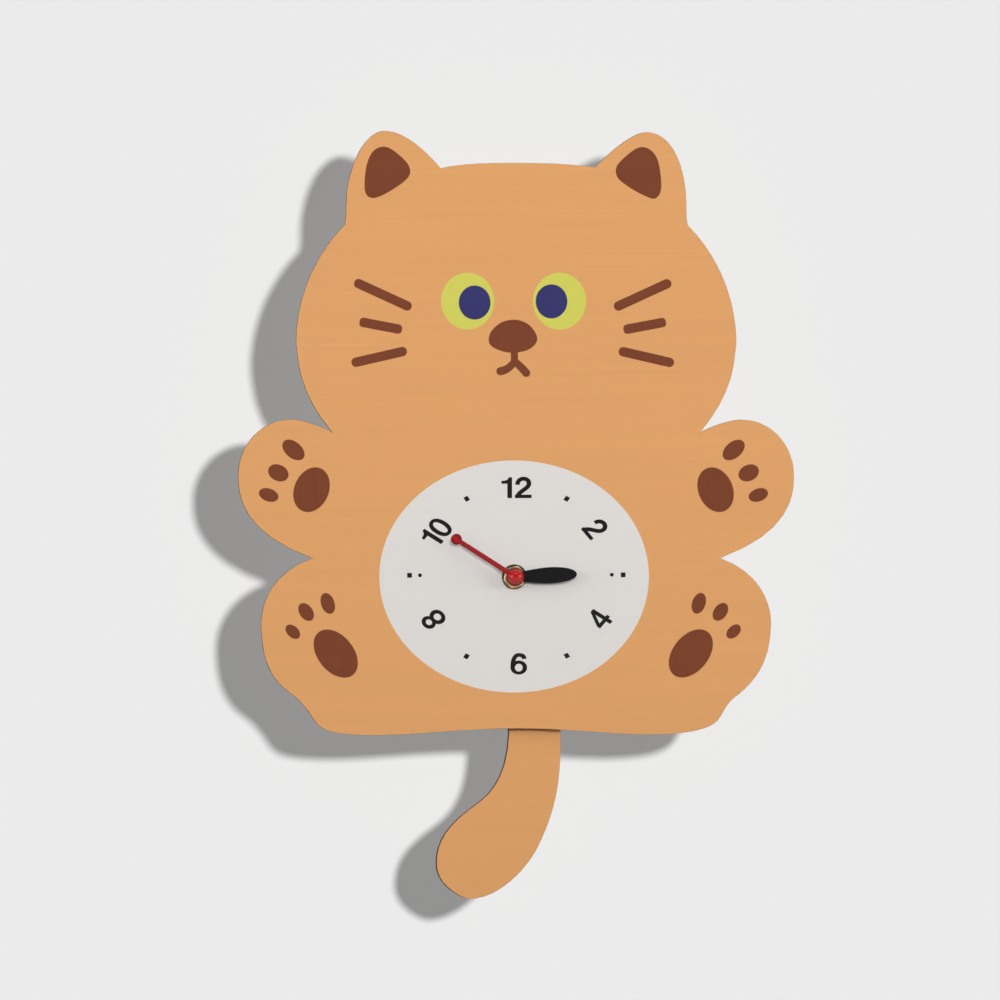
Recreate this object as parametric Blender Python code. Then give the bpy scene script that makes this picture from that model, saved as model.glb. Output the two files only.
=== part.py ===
"""Wall clock shaped like a sitting cat, with a tail that swings as the pendulum.

A printed board carries a pendulum quartz movement on its back. Frame: +Z up, the dial faces -Y, and the
origin is where the axis of the hands meets the wall, so the movement's flat back lies on Y = 0.
Every length below is in millimetres and is multiplied by MM where the meshes are made.
"""

import math

import bmesh
import bpy
from mathutils import Vector

MM = 0.001

# ---- finishes: colour, roughness, metallic ---------------------------------------------------------

FINISHES = {
    "printed_board": ((0.71, 0.35, 0.14), 0.45, 0.0),
    "black_paint": ((0.012, 0.012, 0.013), 0.35, 0.0),
    "red_paint": ((0.42, 0.01, 0.015), 0.25, 0.0),
    "red_plastic": ((0.42, 0.01, 0.015), 0.15, 0.0),
    "brass": ((0.72, 0.50, 0.22), 0.30, 1.0),
    "steel": ((0.62, 0.62, 0.63), 0.30, 1.0),
    "magnet": ((0.30, 0.30, 0.31), 0.35, 1.0),
    "black_rubber": ((0.02, 0.02, 0.02), 0.80, 0.0),
    "black_plastic": ((0.018, 0.018, 0.019), 0.50, 0.0),
    "white_plastic": ((0.80, 0.79, 0.75), 0.45, 0.0),
    "copper_wire": ((0.60, 0.20, 0.07), 0.35, 1.0),
    "circuit_board": ((0.03, 0.16, 0.06), 0.50, 0.0),
    "battery_jacket": ((0.03, 0.09, 0.25), 0.35, 0.4),
}

# ---- driving dimensions ----------------------------------------------------------------------------

BOARD_THICKNESS = 3.0
TOUCH_GAP = 0.3

# Depths along Y, given as (front, back) from the wall plane at 0.
CASE_FRONT = -17.0
CASE_WALL = 1.2
FRONT_CASE_BACK = -8.5
REAR_CASE_FRONT = -8.2
RUBBER_WASHER = (-17.9, -17.3)
BODY_PANEL = (-18.2 - BOARD_THICKNESS, -18.2)
BRASS_WASHER = (-22.1, -21.5)
HEX_NUT = (-24.2, -22.4)
BUSH_FRONT = -24.9
HOUR_HAND = (-26.2, -25.4)
HOUR_PIPE_FRONT = -26.6
MINUTE_HAND = (-28.0, -27.2)
MINUTE_ARBOR_FRONT = -29.4
CAP_BACK = -28.3
CAP_RIM = -29.1
CAP_FRONT = -31.6
TAIL_PANEL = (-13.0 - BOARD_THICKNESS, -13.0)
TAIL_HANGER = (-12.7, -11.9)

# Movement case: half width, and top and bottom edges relative to the axis of the hands.
CASE_HALF_WIDTH = 28.5
CASE_TOP = 28.0
CASE_BOTTOM = -64.0
CASE_CORNER = 3.0

# Shafts and fits.
MINUTE_ARBOR_RADIUS = 1.6
HOUR_PIPE_RADIUS = 2.5
RUNNING_CLEARANCE = 0.05
PIVOT_RADIUS = 0.4
ROTOR_PIVOT_RADIUS = 0.3
ARBOR_RADIUS = 0.5
BUSH_BORE_RADIUS = HOUR_PIPE_RADIUS + RUNNING_CLEARANCE
THREAD_RADIUS = 4.0
BOARD_HOLE_RADIUS = 4.3

# Hands, as seen with each hand turned to twelve.
HOUR_HAND_ANGLE = 87.3
HOUR_HAND_LENGTH = 30.8
HOUR_HAND_HALF_WIDTH = 4.03
HOUR_HUB_RADIUS = 4.0
MINUTE_HAND_ANGLE = 302.5
MINUTE_HAND_LENGTH = 34.7
MINUTE_ROD_HALF_WIDTH = 1.2
MINUTE_TIP_RADIUS = 2.75
MINUTE_HUB_RADIUS = 4.4
CAP_RADIUS = 3.75

# Gear train: (teeth, module) of each wheel and pinion.
HOUR_WHEEL = (48, 0.30)
MOTION_PINION = (12, 0.30)
MOTION_WHEEL = (45, 0.30)
CANNON_PINION = (15, 0.30)
CENTRE_WHEEL = (60, 0.25)
THIRD_PINION = (8, 0.25)
THIRD_WHEEL = (64, 0.20)
SECONDS_PINION = (8, 0.20)
SECONDS_WHEEL = (60, 0.20)
INTERMEDIATE_PINION = (15, 0.20)
INTERMEDIATE_WHEEL = (60, 0.20)
ROTOR_PINION = (8, 0.20)

# Directions from one arbor to the next, in degrees from +X towards +Z.
CENTRE_TO_MOTION = 210.0
CENTRE_TO_THIRD = 30.0
THIRD_TO_SECONDS = 100.0
SECONDS_TO_INTERMEDIATE = 185.0
INTERMEDIATE_TO_ROTOR = 175.0

# Pendulum.
PENDULUM_PIVOT = (0.0, -36.0)
MAGNET_DROP = 18.5
HOOK_DROP = 32.5
HOOK_RADIUS = 1.4
PIVOT_PIN_RADIUS = 0.75

# AA cell, lying across the case.
BATTERY_AXIS = (-8.05, -22.5)
BATTERY_RADIUS = 7.15
BATTERY_BODY_LENGTH = 49.2


# ---- plane outlines: lists of (x, z) ---------------------------------------------------------------


def polar(radius, degrees):
    """The offset of a given length in a given direction."""
    angle = math.radians(degrees)
    return (radius * math.cos(angle), radius * math.sin(angle))


def moved(outline, centre):
    """The outline shifted so that its origin is at centre."""
    return [(x + centre[0], z + centre[1]) for x, z in outline]


def mirrored(outline):
    """The outline reflected in the vertical centre line, still running the same way round."""
    return [(-x, z) for x, z in reversed(outline)]


def sides_for(radius):
    """How many flats a round of this radius is made of."""
    if radius < 0.7:
        return 8
    if radius < 2.2:
        return 14
    if radius < 5.5:
        return 20
    return 30


def circle(radius, centre=(0.0, 0.0)):
    """A round pin: its corners lie on the radius."""
    sides = sides_for(radius)
    return moved([polar(radius, 360 * i / sides) for i in range(sides)], centre)


def bore(radius, centre=(0.0, 0.0)):
    """A round hole: the middles of its flats lie on the radius, so that a pin of it never fouls."""
    sides = sides_for(radius)
    corner = radius / math.cos(math.pi / sides)
    return moved([polar(corner, 360 * i / sides) for i in range(sides)], centre)


def arc(centre, radius, start, end, steps):
    """Points on a circle from one direction to another, both ends included."""
    return moved(
        [polar(radius, start + (end - start) * i / steps) for i in range(steps + 1)],
        centre,
    )


def bezier(start, pull_start, pull_end, end, steps=8):
    """Points on a cubic Bezier curve after its start, up to and including its end."""
    points = []
    for i in range(1, steps + 1):
        t = i / steps
        weights = ((1 - t) ** 3, 3 * t * (1 - t) ** 2, 3 * t * t * (1 - t), t**3)
        corners = (start, pull_start, pull_end, end)
        points.append(
            (
                sum(w * c[0] for w, c in zip(weights, corners)),
                sum(w * c[1] for w, c in zip(weights, corners)),
            )
        )
    return points


def smooth_run(start, *curves, steps=8):
    """Bezier curves joined end to end; each curve is (pull_start, pull_end, end)."""
    points = [start]
    for pull_start, pull_end, end in curves:
        points += bezier(points[-1], pull_start, pull_end, end, steps)
    return points


def rectangle(left, right, bottom, top, corner=0.0):
    """A rectangle, with round corners if a corner radius is given."""
    if corner == 0.0:
        return [(left, bottom), (right, bottom), (right, top), (left, top)]
    points = []
    for x, z, start in (
        (right - corner, top - corner, 0),
        (left + corner, top - corner, 90),
        (left + corner, bottom + corner, 180),
        (right - corner, bottom + corner, 270),
    ):
        points += arc((x, z), corner, start, start + 90, 4)
    return points


def bent_strip(path, thickness):
    """A strip of sheet metal seen on edge, bent along a path of corner points."""
    half = thickness / 2
    sides = ([], [])
    for i, (x, z) in enumerate(path):
        before = Vector(path[i]) - Vector(path[max(i - 1, 0)])
        after = Vector(path[min(i + 1, len(path) - 1)]) - Vector(path[i])
        directions = [d.normalized() for d in (before, after) if d.length > 0]
        along = sum(directions, Vector((0, 0))).normalized()
        reach = half / along.dot(directions[0])
        sides[0].append((x - along.y * reach, z + along.x * reach))
        sides[1].append((x + along.y * reach, z - along.x * reach))
    return sides[0] + sides[1][::-1]


# ---- gears -----------------------------------------------------------------------------------------

ADDENDUM = 0.8
DEDENDUM = 1.1
TOOTH_SHARE = 0.80
TIP_TAPER = 0.30
ROOT_FLARE = 0.20
PINION_TIP_TAPER = 0.26
PINION_MOST_TEETH = 20


def pitch_radius(gear):
    """Radius of a gear's pitch circle from (teeth, module)."""
    teeth, module = gear
    return teeth * module / 2


def centre_distance(gear, other):
    """Distance between the axes of two gears that mesh."""
    return pitch_radius(gear) + pitch_radius(other)


def gear_outline(gear, phase):
    """Teeth with straight tapering flanks. A tooth is centred on the phase angle, in radians.

    A tooth fills TOOTH_SHARE of half the pitch, which leaves the backlash. Pinions have an extra
    corner on the pitch circle, because their few leaves are too round for one straight flank.
    """
    teeth, module = gear
    pitch = pitch_radius(gear)
    tip = pitch + ADDENDUM * module
    root = pitch - DEDENDUM * module
    half_pitch = TOOTH_SHARE * math.pi / (2 * teeth)
    if teeth < PINION_MOST_TEETH:
        half_tip = half_pitch * pitch / tip - PINION_TIP_TAPER * module / tip
        half_root = half_pitch * pitch / root
        corners = [(root, half_root), (pitch, half_pitch), (tip, half_tip)]
    else:
        half_tip = half_pitch * pitch / tip - TIP_TAPER * module / tip
        half_root = half_pitch * pitch / root + ROOT_FLARE * module / root
        corners = [(root, half_root), (tip, half_tip)]
    points = []
    for i in range(teeth):
        middle = phase + 2 * math.pi * i / teeth
        rising = [(r, middle - half) for r, half in corners]
        falling = [(r, middle + half) for r, half in reversed(corners)]
        points += [(r * math.cos(a), r * math.sin(a)) for r, a in rising + falling]
    return points


def meshing_phase(gear, phase, other, direction):
    """Phase of a gear that meshes with a gear of known phase, in a direction given in degrees."""
    towards = math.radians(direction)
    turned_on = (phase - towards) * gear[0] / other[0]
    return towards + math.pi + math.pi / other[0] - turned_on


# ---- objects ---------------------------------------------------------------------------------------


def clear_scene():
    """Removes every object of the open file."""
    for existing in list(bpy.data.objects):
        bpy.data.objects.remove(existing, do_unlink=True)


def give_finish(part, finish):
    """Gives a part a material of its own."""
    colour, roughness, metallic = FINISHES[finish]
    material = bpy.data.materials.new(f"{part.name}_{finish}")
    material.use_nodes = True
    shader = material.node_tree.nodes["Principled BSDF"]
    shader.inputs["Base Color"].default_value = (*colour, 1.0)
    shader.inputs["Roughness"].default_value = roughness
    shader.inputs["Metallic"].default_value = metallic
    part.data.materials.append(material)


def new_part(name, mesh_maker, finish, at=(0.0, 0.0), turn=0.0):
    """Links a mesh into the scene with its origin at (x, z) in the wall plane.

    turn is clockwise from the front, in degrees, about the axis through the origin along Y.
    """
    bmesh.ops.recalc_face_normals(mesh_maker, faces=mesh_maker.faces)
    mesh = bpy.data.meshes.new(name)
    mesh_maker.to_mesh(mesh)
    mesh_maker.free()
    mesh.shade_smooth()
    mesh.set_sharp_from_angle(angle=math.radians(30))
    part = bpy.data.objects.new(name, mesh)
    bpy.context.scene.collection.objects.link(part)
    part.location = (at[0] * MM, 0.0, at[1] * MM)
    part.rotation_euler = (0.0, math.radians(turn), 0.0)
    give_finish(part, finish)
    return part


def stack(name, finish, layers, at=(0.0, 0.0), turn=0.0):
    """One closed body from slices along Y, given front to back as (front, back, loops).

    The loops of a slice are plane outlines that don't touch. What lies inside an odd number of them
    is solid, so a loop in a loop is a hole, and a third one in that is a post. Where two slices meet,
    only the loops that one of them lacks bound the step between them.
    """
    maker = bmesh.new()
    rings = {}

    def ring(outline, depth):
        key = (tuple(outline), depth)
        if key not in rings:
            verts = [maker.verts.new((x * MM, depth * MM, z * MM)) for x, z in outline]
            for vert, following in zip(verts, verts[1:] + verts[:1]):
                maker.edges.new((vert, following))
            rings[key] = verts
        return rings[key]

    def close(outlines, depth):
        edges = []
        for outline in outlines:
            verts = ring(outline, depth)
            edges += [
                maker.edges.get((v, w)) for v, w in zip(verts, verts[1:] + verts[:1])
            ]
        if edges:
            bmesh.ops.triangle_fill(
                maker, use_beauty=True, edges=edges, normal=(0.0, 1.0, 0.0)
            )

    for front, back, loops in layers:
        for outline in loops:
            near = ring(outline, front)
            far = ring(outline, back)
            for i, vert in enumerate(near):
                j = (i + 1) % len(near)
                maker.faces.new((vert, near[j], far[j], far[i]))
    close(layers[0][2], layers[0][0])
    close(layers[-1][2], layers[-1][1])
    for (_, depth, loops), (_, _, next_loops) in zip(layers, layers[1:]):
        step = [o for o in loops if o not in next_loops]
        step += [o for o in next_loops if o not in loops]
        close(step, depth)
    return new_part(name, maker, finish, at, turn)


AXIS_DIRECTIONS = {
    "X": (Vector((0, 0, 1)), Vector((1, 0, 0))),
    "Y": (Vector((1, 0, 0)), Vector((0, 1, 0))),
    "Z": (Vector((1, 0, 0)), Vector((0, 0, 1))),
}


def turned(name, finish, profile, axis="Y", centre=(0.0, 0.0, 0.0), at=(0.0, 0.0), steps=32):
    """A body of revolution from a profile of (radius, distance along the axis).

    A profile that starts or ends at radius 0 is closed there; any other one is closed to a ring.
    """
    outwards, along = AXIS_DIRECTIONS[axis]
    middle = Vector(centre)
    maker = bmesh.new()
    verts = [maker.verts.new((middle + outwards * r + along * d) * MM) for r, d in profile]
    edges = [maker.edges.new(pair) for pair in zip(verts, verts[1:])]
    if profile[0][0] > 0 and profile[-1][0] > 0:
        edges.append(maker.edges.new((verts[-1], verts[0])))
    bmesh.ops.spin(
        maker,
        geom=verts + edges,
        cent=middle * MM,
        axis=along,
        angle=2 * math.pi,
        steps=steps,
        use_merge=True,
    )
    bmesh.ops.remove_doubles(maker, verts=maker.verts, dist=1e-6)
    return new_part(name, maker, finish, at)


def combine(part, tool, operation):
    """Cuts a hidden tool out of a part, or adds it to the part."""
    tool.hide_render = True
    tool.display_type = "WIRE"
    modifier = part.modifiers.new(f"{operation}_{tool.name}", "BOOLEAN")
    modifier.operation = operation
    modifier.object = tool


# ---- the cat: front board and tail -----------------------------------------------------------------

# The cat's own middle line is a little right of the hands' axis, and its drawing a little low.
CAT_OFFSET = (1.05, -0.25)
HEAD_LOBE_CENTRE = (25.7, 115.8)
HEAD_LOBE_RADIUS = 83.7
HEAD_TOP = 205.4
CHEEK_START = 44.6
CHEEK_END = 0.0


def ear(foot, inner_pull, tip, outer_pull):
    """Right ear from its foot on the crown over the tip to where the cheek starts."""
    outer_foot = moved([polar(HEAD_LOBE_RADIUS, CHEEK_START)], HEAD_LOBE_CENTRE)[0]
    side = (84.6, 184.0)
    return smooth_run(
        foot,
        ((foot[0] + 5.5, foot[1] + 6.4), (inner_pull, tip[1]), tip),
        ((outer_pull, tip[1]), (side[0], 203.5), side),
        ((side[0], 180.0), (side[0], 177.0), outer_foot),
    )


def flank(shin_pulls, ankle, heel_pull, corner_pulls, corner_end):
    """Right side below the ear: cheek, arm, leg and half of the bottom edge."""
    cheek = arc(HEAD_LOBE_CENTRE, HEAD_LOBE_RADIUS, CHEEK_START, CHEEK_END, 11)
    arm_and_leg = smooth_run(
        cheek[-1],
        ((108.0, 107.0), (109.0, 93.0), (91.4, 71.7)),
        ((97.0, 75.3), (107.6, 78.2), (111.8, 78.2)),
        ((127.2, 78.2), (138.1, 65.0), (138.1, 50.5)),
        ((138.1, 39.5), (135.7, 22.0), (101.2, 9.5)),
        ((120.9, 3.1), (126.7, -13.0), (126.7, -22.5)),
        (*shin_pulls, ankle),
        (heel_pull, (103.4, -65.7), (101.4, -69.2)),
        (*corner_pulls, corner_end),
        ((60.0, -80.0), (32.0, -74.8), (0.0, -74.8)),
    )
    return cheek[1:] + arm_and_leg[1:]


def half_crown(ear_foot):
    """The slightly domed top of the head, from its middle to an ear's foot."""
    return bezier((0.0, HEAD_TOP), (18.0, HEAD_TOP), (29.5, HEAD_TOP - 0.7), ear_foot, 5)


def body_outline():
    """Outline of the cat, clockwise from the middle of the crown."""
    right_ear = ear(foot=(39.4, 203.2), inner_pull=57.7, tip=(64.6, 220.7), outer_pull=77.4)
    left_ear = ear(foot=(37.6, 202.7), inner_pull=54.6, tip=(65.6, 221.2), outer_pull=74.9)
    right_flank = flank(
        shin_pulls=((126.7, -42.2), (118.2, -52.3)),
        ankle=(108.6, -59.5),
        heel_pull=(105.4, -61.9),
        corner_pulls=((98.4, -74.4), (90.2, -76.1)),
        corner_end=(83.0, -77.0),
    )
    left_flank = flank(
        shin_pulls=((126.7, -37.3), (123.7, -49.8)),
        ankle=(111.7, -57.6),
        heel_pull=(108.3, -59.8),
        corner_pulls=((97.8, -75.5), (92.1, -76.7)),
        corner_end=(85.4, -77.5),
    )
    right = [(0.0, HEAD_TOP)] + half_crown(right_ear[0]) + right_ear[1:] + right_flank
    left = half_crown(left_ear[0]) + left_ear[1:] + left_flank[:-1]
    return moved(right + mirrored(left), CAT_OFFSET)


TAIL_TOP = -71.2
TAIL_LEFT = -2.6
TAIL_RIGHT = 23.4


def tail_outline():
    """Outline of the tail, which curls to the left. Its top edge is hidden behind the body."""
    return smooth_run(
        (TAIL_LEFT, TAIL_TOP),
        ((TAIL_LEFT, -73.0), (TAIL_LEFT, -76.0), (TAIL_LEFT, -78.0)),
        ((-3.4, -101.1), (-13.8, -109.0), (-18.6, -112.6)),
        ((-33.8, -123.4), (-38.5, -131.3), (-38.5, -142.2)),
        ((-38.5, -153.2), (-25.5, -159.5), (-21.5, -159.5)),
        ((-7.8, -159.5), (7.8, -145.0), (13.8, -130.4)),
        ((20.1, -116.8), (23.3, -103.2), (TAIL_RIGHT, -85.0)),
        ((TAIL_RIGHT, -80.0), (TAIL_RIGHT, -75.0), (TAIL_RIGHT, TAIL_TOP)),
    )


HANGER_PLATE = (-1.4, 18.1, -97.4, -76.6)
HANGER_NECK_HALF_WIDTH = 3.2
TAIL_SCREWS = {"left": (3.6, -88.0), "right": (14.4, -88.0)}
SCREW_SHANK_RADIUS = 0.8
SCREW_HEAD_RADIUS = 2.0
SCREW_DEPTH = 2.2


def below_pivot(point):
    """A place in the clock's frame, given from the pendulum's pivot."""
    return (point[0] - PENDULUM_PIVOT[0], point[1] - PENDULUM_PIVOT[1])


def make_cat_boards():
    """The two flat boards that show from the front."""
    front, back = BODY_PANEL
    outline = body_outline()
    stack("body_panel", "printed_board", [(front, back, [outline, bore(BOARD_HOLE_RADIUS)])])

    front, back = TAIL_PANEL
    shape = moved(tail_outline(), below_pivot((0.0, 0.0)))
    pilot_holes = [
        bore(SCREW_SHANK_RADIUS + RUNNING_CLEARANCE, below_pivot(place))
        for place in TAIL_SCREWS.values()
    ]
    pilot_end = back - SCREW_DEPTH - TOUCH_GAP
    stack(
        "tail_panel",
        "printed_board",
        [(front, pilot_end, [shape]), (pilot_end, back, [shape] + pilot_holes)],
        at=PENDULUM_PIVOT,
    )


# ---- pendulum --------------------------------------------------------------------------------------

ARM_PLATE = (-11.4, -9.6)
ARM_STEM_HALF_WIDTH = 3.0
ARM_TOE_HALF_WIDTH = 2.4
ARM_TOE_DROP = 33.5
HUB_RADIUS = 2.6
HUB = (-12.6, -4.4)
HOLDER_RADIUS = 6.3
HOLDER_BACK = -7.4
MAGNET_RADIUS = 5.0
MAGNET = (-9.3, -7.2)
HOOK_LIP_RADIUS = 2.2
HOOK_LIP_FRONT = -13.6
HOOK_LIP_BACK = -13.0
PIVOT_BORE_RADIUS = PIVOT_PIN_RADIUS + RUNNING_CLEARANCE


def arm_outline():
    """The arm from its round top at the pivot, past the magnet's round holder, to its toe."""
    meets_stem = math.degrees(math.asin(ARM_STEM_HALF_WIDTH / HOLDER_RADIUS))
    meets_toe = math.degrees(math.asin(ARM_TOE_HALF_WIDTH / HOLDER_RADIUS))
    holder = (0.0, -MAGNET_DROP)
    toe = (0.0, -ARM_TOE_DROP)
    return (
        arc((0.0, 0.0), ARM_STEM_HALF_WIDTH, 0, 180, 8)
        + arc(holder, HOLDER_RADIUS, 90 + meets_stem, 270 - meets_toe, 10)
        + arc(toe, ARM_TOE_HALF_WIDTH, 180, 360, 8)
        + arc(holder, HOLDER_RADIUS, 270 + meets_toe, 450 - meets_stem, 10)
    )


def keyhole(centre, narrow, wide, drop):
    """A hanging hole: a narrow round end over a wide one that passes the hook's lip."""
    reach = math.degrees(math.asin(narrow / wide))
    lower = (centre[0], centre[1] - drop)
    return arc(centre, narrow, 0, 180, 8) + arc(lower, wide, 90 + reach, 450 - reach, 14)


def make_pendulum():
    """The arm with its magnet, and the steel plate by which the tail hangs on the arm's hook."""
    hook = (0.0, -HOOK_DROP)
    magnet = (0.0, -MAGNET_DROP)
    pivot_bore = bore(PIVOT_BORE_RADIUS)
    sleeve = [circle(HUB_RADIUS), pivot_bore]
    hook_post = circle(HOOK_RADIUS, hook)
    holder_wall = [
        circle(HOLDER_RADIUS - 0.1, magnet),
        bore(MAGNET_RADIUS + RUNNING_CLEARANCE, magnet),
    ]
    stack(
        "pendulum_arm",
        "white_plastic",
        [
            (HOOK_LIP_FRONT, HOOK_LIP_BACK, [circle(HOOK_LIP_RADIUS, hook)]),
            (HOOK_LIP_BACK, HUB[0], [hook_post]),
            (HUB[0], ARM_PLATE[0], [hook_post] + sleeve),
            (ARM_PLATE[0], ARM_PLATE[1], [arm_outline(), pivot_bore]),
            (ARM_PLATE[1], HOLDER_BACK, sleeve + holder_wall),
            (HOLDER_BACK, HUB[1], sleeve),
        ],
        at=PENDULUM_PIVOT,
    )
    stack("pendulum_magnet", "magnet", [(*MAGNET, [circle(MAGNET_RADIUS, magnet)])], at=PENDULUM_PIVOT)

    left, right, bottom, top = HANGER_PLATE
    neck_top = PENDULUM_PIVOT[1] - HOOK_DROP
    neck = HANGER_NECK_HALF_WIDTH
    plate = (
        [(left, bottom + 1.0), (left + 1.0, bottom), (right - 1.0, bottom), (right, bottom + 1.0)]
        + [(right, top - 1.0), (right - 1.0, top), (neck + 1.0, top), (neck, top + 1.0)]
        + arc((0.0, neck_top), neck, 0, 180, 10)
        + [(-neck, top + 1.0), (left, top)]
    )
    screw_holes = [
        bore(SCREW_SHANK_RADIUS + RUNNING_CLEARANCE, below_pivot(p)) for p in TAIL_SCREWS.values()
    ]
    hanging_hole = keyhole(hook, HOOK_RADIUS + RUNNING_CLEARANCE, HOOK_LIP_RADIUS + 0.15, 5.0)
    stack(
        "tail_hanger",
        "steel",
        [(*TAIL_HANGER, [moved(plate, below_pivot((0.0, 0.0))), hanging_hole] + screw_holes)],
        at=PENDULUM_PIVOT,
    )

    head_front = TAIL_HANGER[1] + TOUCH_GAP
    for side, place in TAIL_SCREWS.items():
        centre = below_pivot(place)
        shank = circle(SCREW_SHANK_RADIUS, centre)
        head = circle(SCREW_HEAD_RADIUS, centre)
        stack(
            f"tail_screw_{side}",
            "steel",
            [
                (TAIL_PANEL[1] - SCREW_DEPTH, head_front, [shank]),
                (head_front, head_front + 0.9, [head]),
                (head_front + 0.9, head_front + 1.2, [head, rectangle_slot(centre)]),
            ],
            at=PENDULUM_PIVOT,
        )


def rectangle_slot(centre):
    """The driver slot in a small screw's head."""
    return rectangle(centre[0] - 1.3, centre[0] + 1.3, centre[1] - 0.25, centre[1] + 0.25)


# ---- movement: case, plate and the parts that clamp it to the board -----------------------------------

INNER_HALF_WIDTH = CASE_HALF_WIDTH - CASE_WALL
INNER_TOP = CASE_TOP - CASE_WALL
INNER_BOTTOM = CASE_BOTTOM + CASE_WALL
FRONT_WALL_BACK = CASE_FRONT + CASE_WALL
REAR_WALL_FRONT = -CASE_WALL

CENTRE = (0.0, 0.0)
MOTION = polar(centre_distance(CANNON_PINION, MOTION_WHEEL), CENTRE_TO_MOTION)
THIRD = polar(centre_distance(CENTRE_WHEEL, THIRD_PINION), CENTRE_TO_THIRD)
SECONDS = moved([polar(centre_distance(THIRD_WHEEL, SECONDS_PINION), THIRD_TO_SECONDS)], THIRD)[0]
INTERMEDIATE = moved(
    [polar(centre_distance(SECONDS_WHEEL, INTERMEDIATE_PINION), SECONDS_TO_INTERMEDIATE)], SECONDS
)[0]
ROTOR = moved(
    [polar(centre_distance(INTERMEDIATE_WHEEL, ROTOR_PINION), INTERMEDIATE_TO_ROTOR)], INTERMEDIATE
)[0]

GEAR_PLATE = (-9.5, -8.5)
PLATE_POSTS = ((0.0, 23.5), (-24.5, -9.5), (13.0, -9.8))
POST_RADIUS = 1.6
BOARD_POSTS = ((18.0, -8.6), (23.5, 20.0))
BOARD_POST_FRONT = -2.7
BOSS_FRONT = -2.4
BOSS_RADIUS = 1.3
MOTION_BOSS_BACK = -14.9
PIVOT_BOSS_RADIUS = 2.4
FRONT_PIVOT_BOSS_BACK = -13.0
REAR_PIVOT_BOSS_FRONT = -4.0
PIN_FIT = 0.03

WELL_OUTER_RADIUS = 7.2
WELL_RADIUS = 6.2
WELL_FLOOR = (-6.6, -5.4)
MOTION_ARBOR_RADIUS = 0.9

BAY_TOP = -14.2
BAY_BOTTOM = -30.8
BAY_RIB = 1.0
BAY_HALF_WIDTH = 25.0
BATTERY_WINDOW_HALF_WIDTH = 26.4
BATTERY_WINDOW_MARGIN = 0.5

HANGER_HALF_WIDTH = 12.0
HANGER_TOP = 40.0
HANGER_DEPTH = 2.5
HANGER_SLOT = (8.5, 29.6, 35.8)
HANGER_TOOTH = 1.0
HANGER_TEETH = 8


def case_rim():
    """The outer and inner outlines of both halves of the movement's case."""
    outer = rectangle(-CASE_HALF_WIDTH, CASE_HALF_WIDTH, CASE_BOTTOM, CASE_TOP, CASE_CORNER)
    inner = rectangle(
        -INNER_HALF_WIDTH, INNER_HALF_WIDTH, INNER_BOTTOM, INNER_TOP, CASE_CORNER - CASE_WALL
    )
    return outer, inner


def bay_ribs():
    """The two ribs above and below the battery."""
    return [
        rectangle(-BAY_HALF_WIDTH, BAY_HALF_WIDTH, BAY_TOP, BAY_TOP + BAY_RIB),
        rectangle(-BAY_HALF_WIDTH, BAY_HALF_WIDTH, BAY_BOTTOM - BAY_RIB, BAY_BOTTOM),
    ]


def make_front_case():
    """The half of the case behind the board, open at the bottom where the pendulum arm comes out."""
    outer, inner = case_rim()
    posts = [circle(POST_RADIUS, place) for place in PLATE_POSTS]
    hollow = [outer, inner] + bay_ribs()
    motion_boss = [circle(BOSS_RADIUS, MOTION), bore(PIVOT_RADIUS + RUNNING_CLEARANCE, MOTION)]
    pin_boss = [
        circle(PIVOT_BOSS_RADIUS, PENDULUM_PIVOT),
        bore(PIVOT_PIN_RADIUS + PIN_FIT, PENDULUM_PIVOT),
    ]
    bush_hole = bore(THREAD_RADIUS + RUNNING_CLEARANCE)
    plate_rest = GEAR_PLATE[0] - TOUCH_GAP
    case = stack(
        "movement_front_case",
        "black_plastic",
        [
            (CASE_FRONT, FRONT_WALL_BACK, [outer, bush_hole]),
            (FRONT_WALL_BACK, MOTION_BOSS_BACK, hollow + posts + pin_boss + motion_boss),
            (MOTION_BOSS_BACK, FRONT_PIVOT_BOSS_BACK, hollow + posts + pin_boss),
            (FRONT_PIVOT_BOSS_BACK, plate_rest, hollow + posts),
            (plate_rest, FRONT_CASE_BACK, hollow),
        ],
    )
    arm_slot = rectangle(-10.0, 10.0, CASE_BOTTOM - 2.0, INNER_BOTTOM + 0.6)
    tool = stack("arm_slot_tool", "black_plastic", [(-12.6, FRONT_CASE_BACK + 2.0, [arm_slot])])
    combine(case, tool, "DIFFERENCE")


def hanger_outlines():
    """The loop above the case that hangs on a nail, with teeth along its upper edge."""
    half, low, high = HANGER_SLOT
    loop = (
        [(-HANGER_HALF_WIDTH, CASE_TOP - 1.0), (HANGER_HALF_WIDTH, CASE_TOP - 1.0)]
        + arc((HANGER_HALF_WIDTH - 3.0, HANGER_TOP - 3.0), 3.0, 0, 90, 5)
        + arc((3.0 - HANGER_HALF_WIDTH, HANGER_TOP - 3.0), 3.0, 90, 180, 5)
    )
    pitch = 2 * half / HANGER_TEETH
    teeth = []
    for i in range(HANGER_TEETH):
        valley = half - pitch * i
        teeth += [(valley, high), (valley - pitch / 2, high + HANGER_TOOTH)]
    return loop, [(-half, low), (half, low)] + teeth + [(-half, high)]


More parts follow.
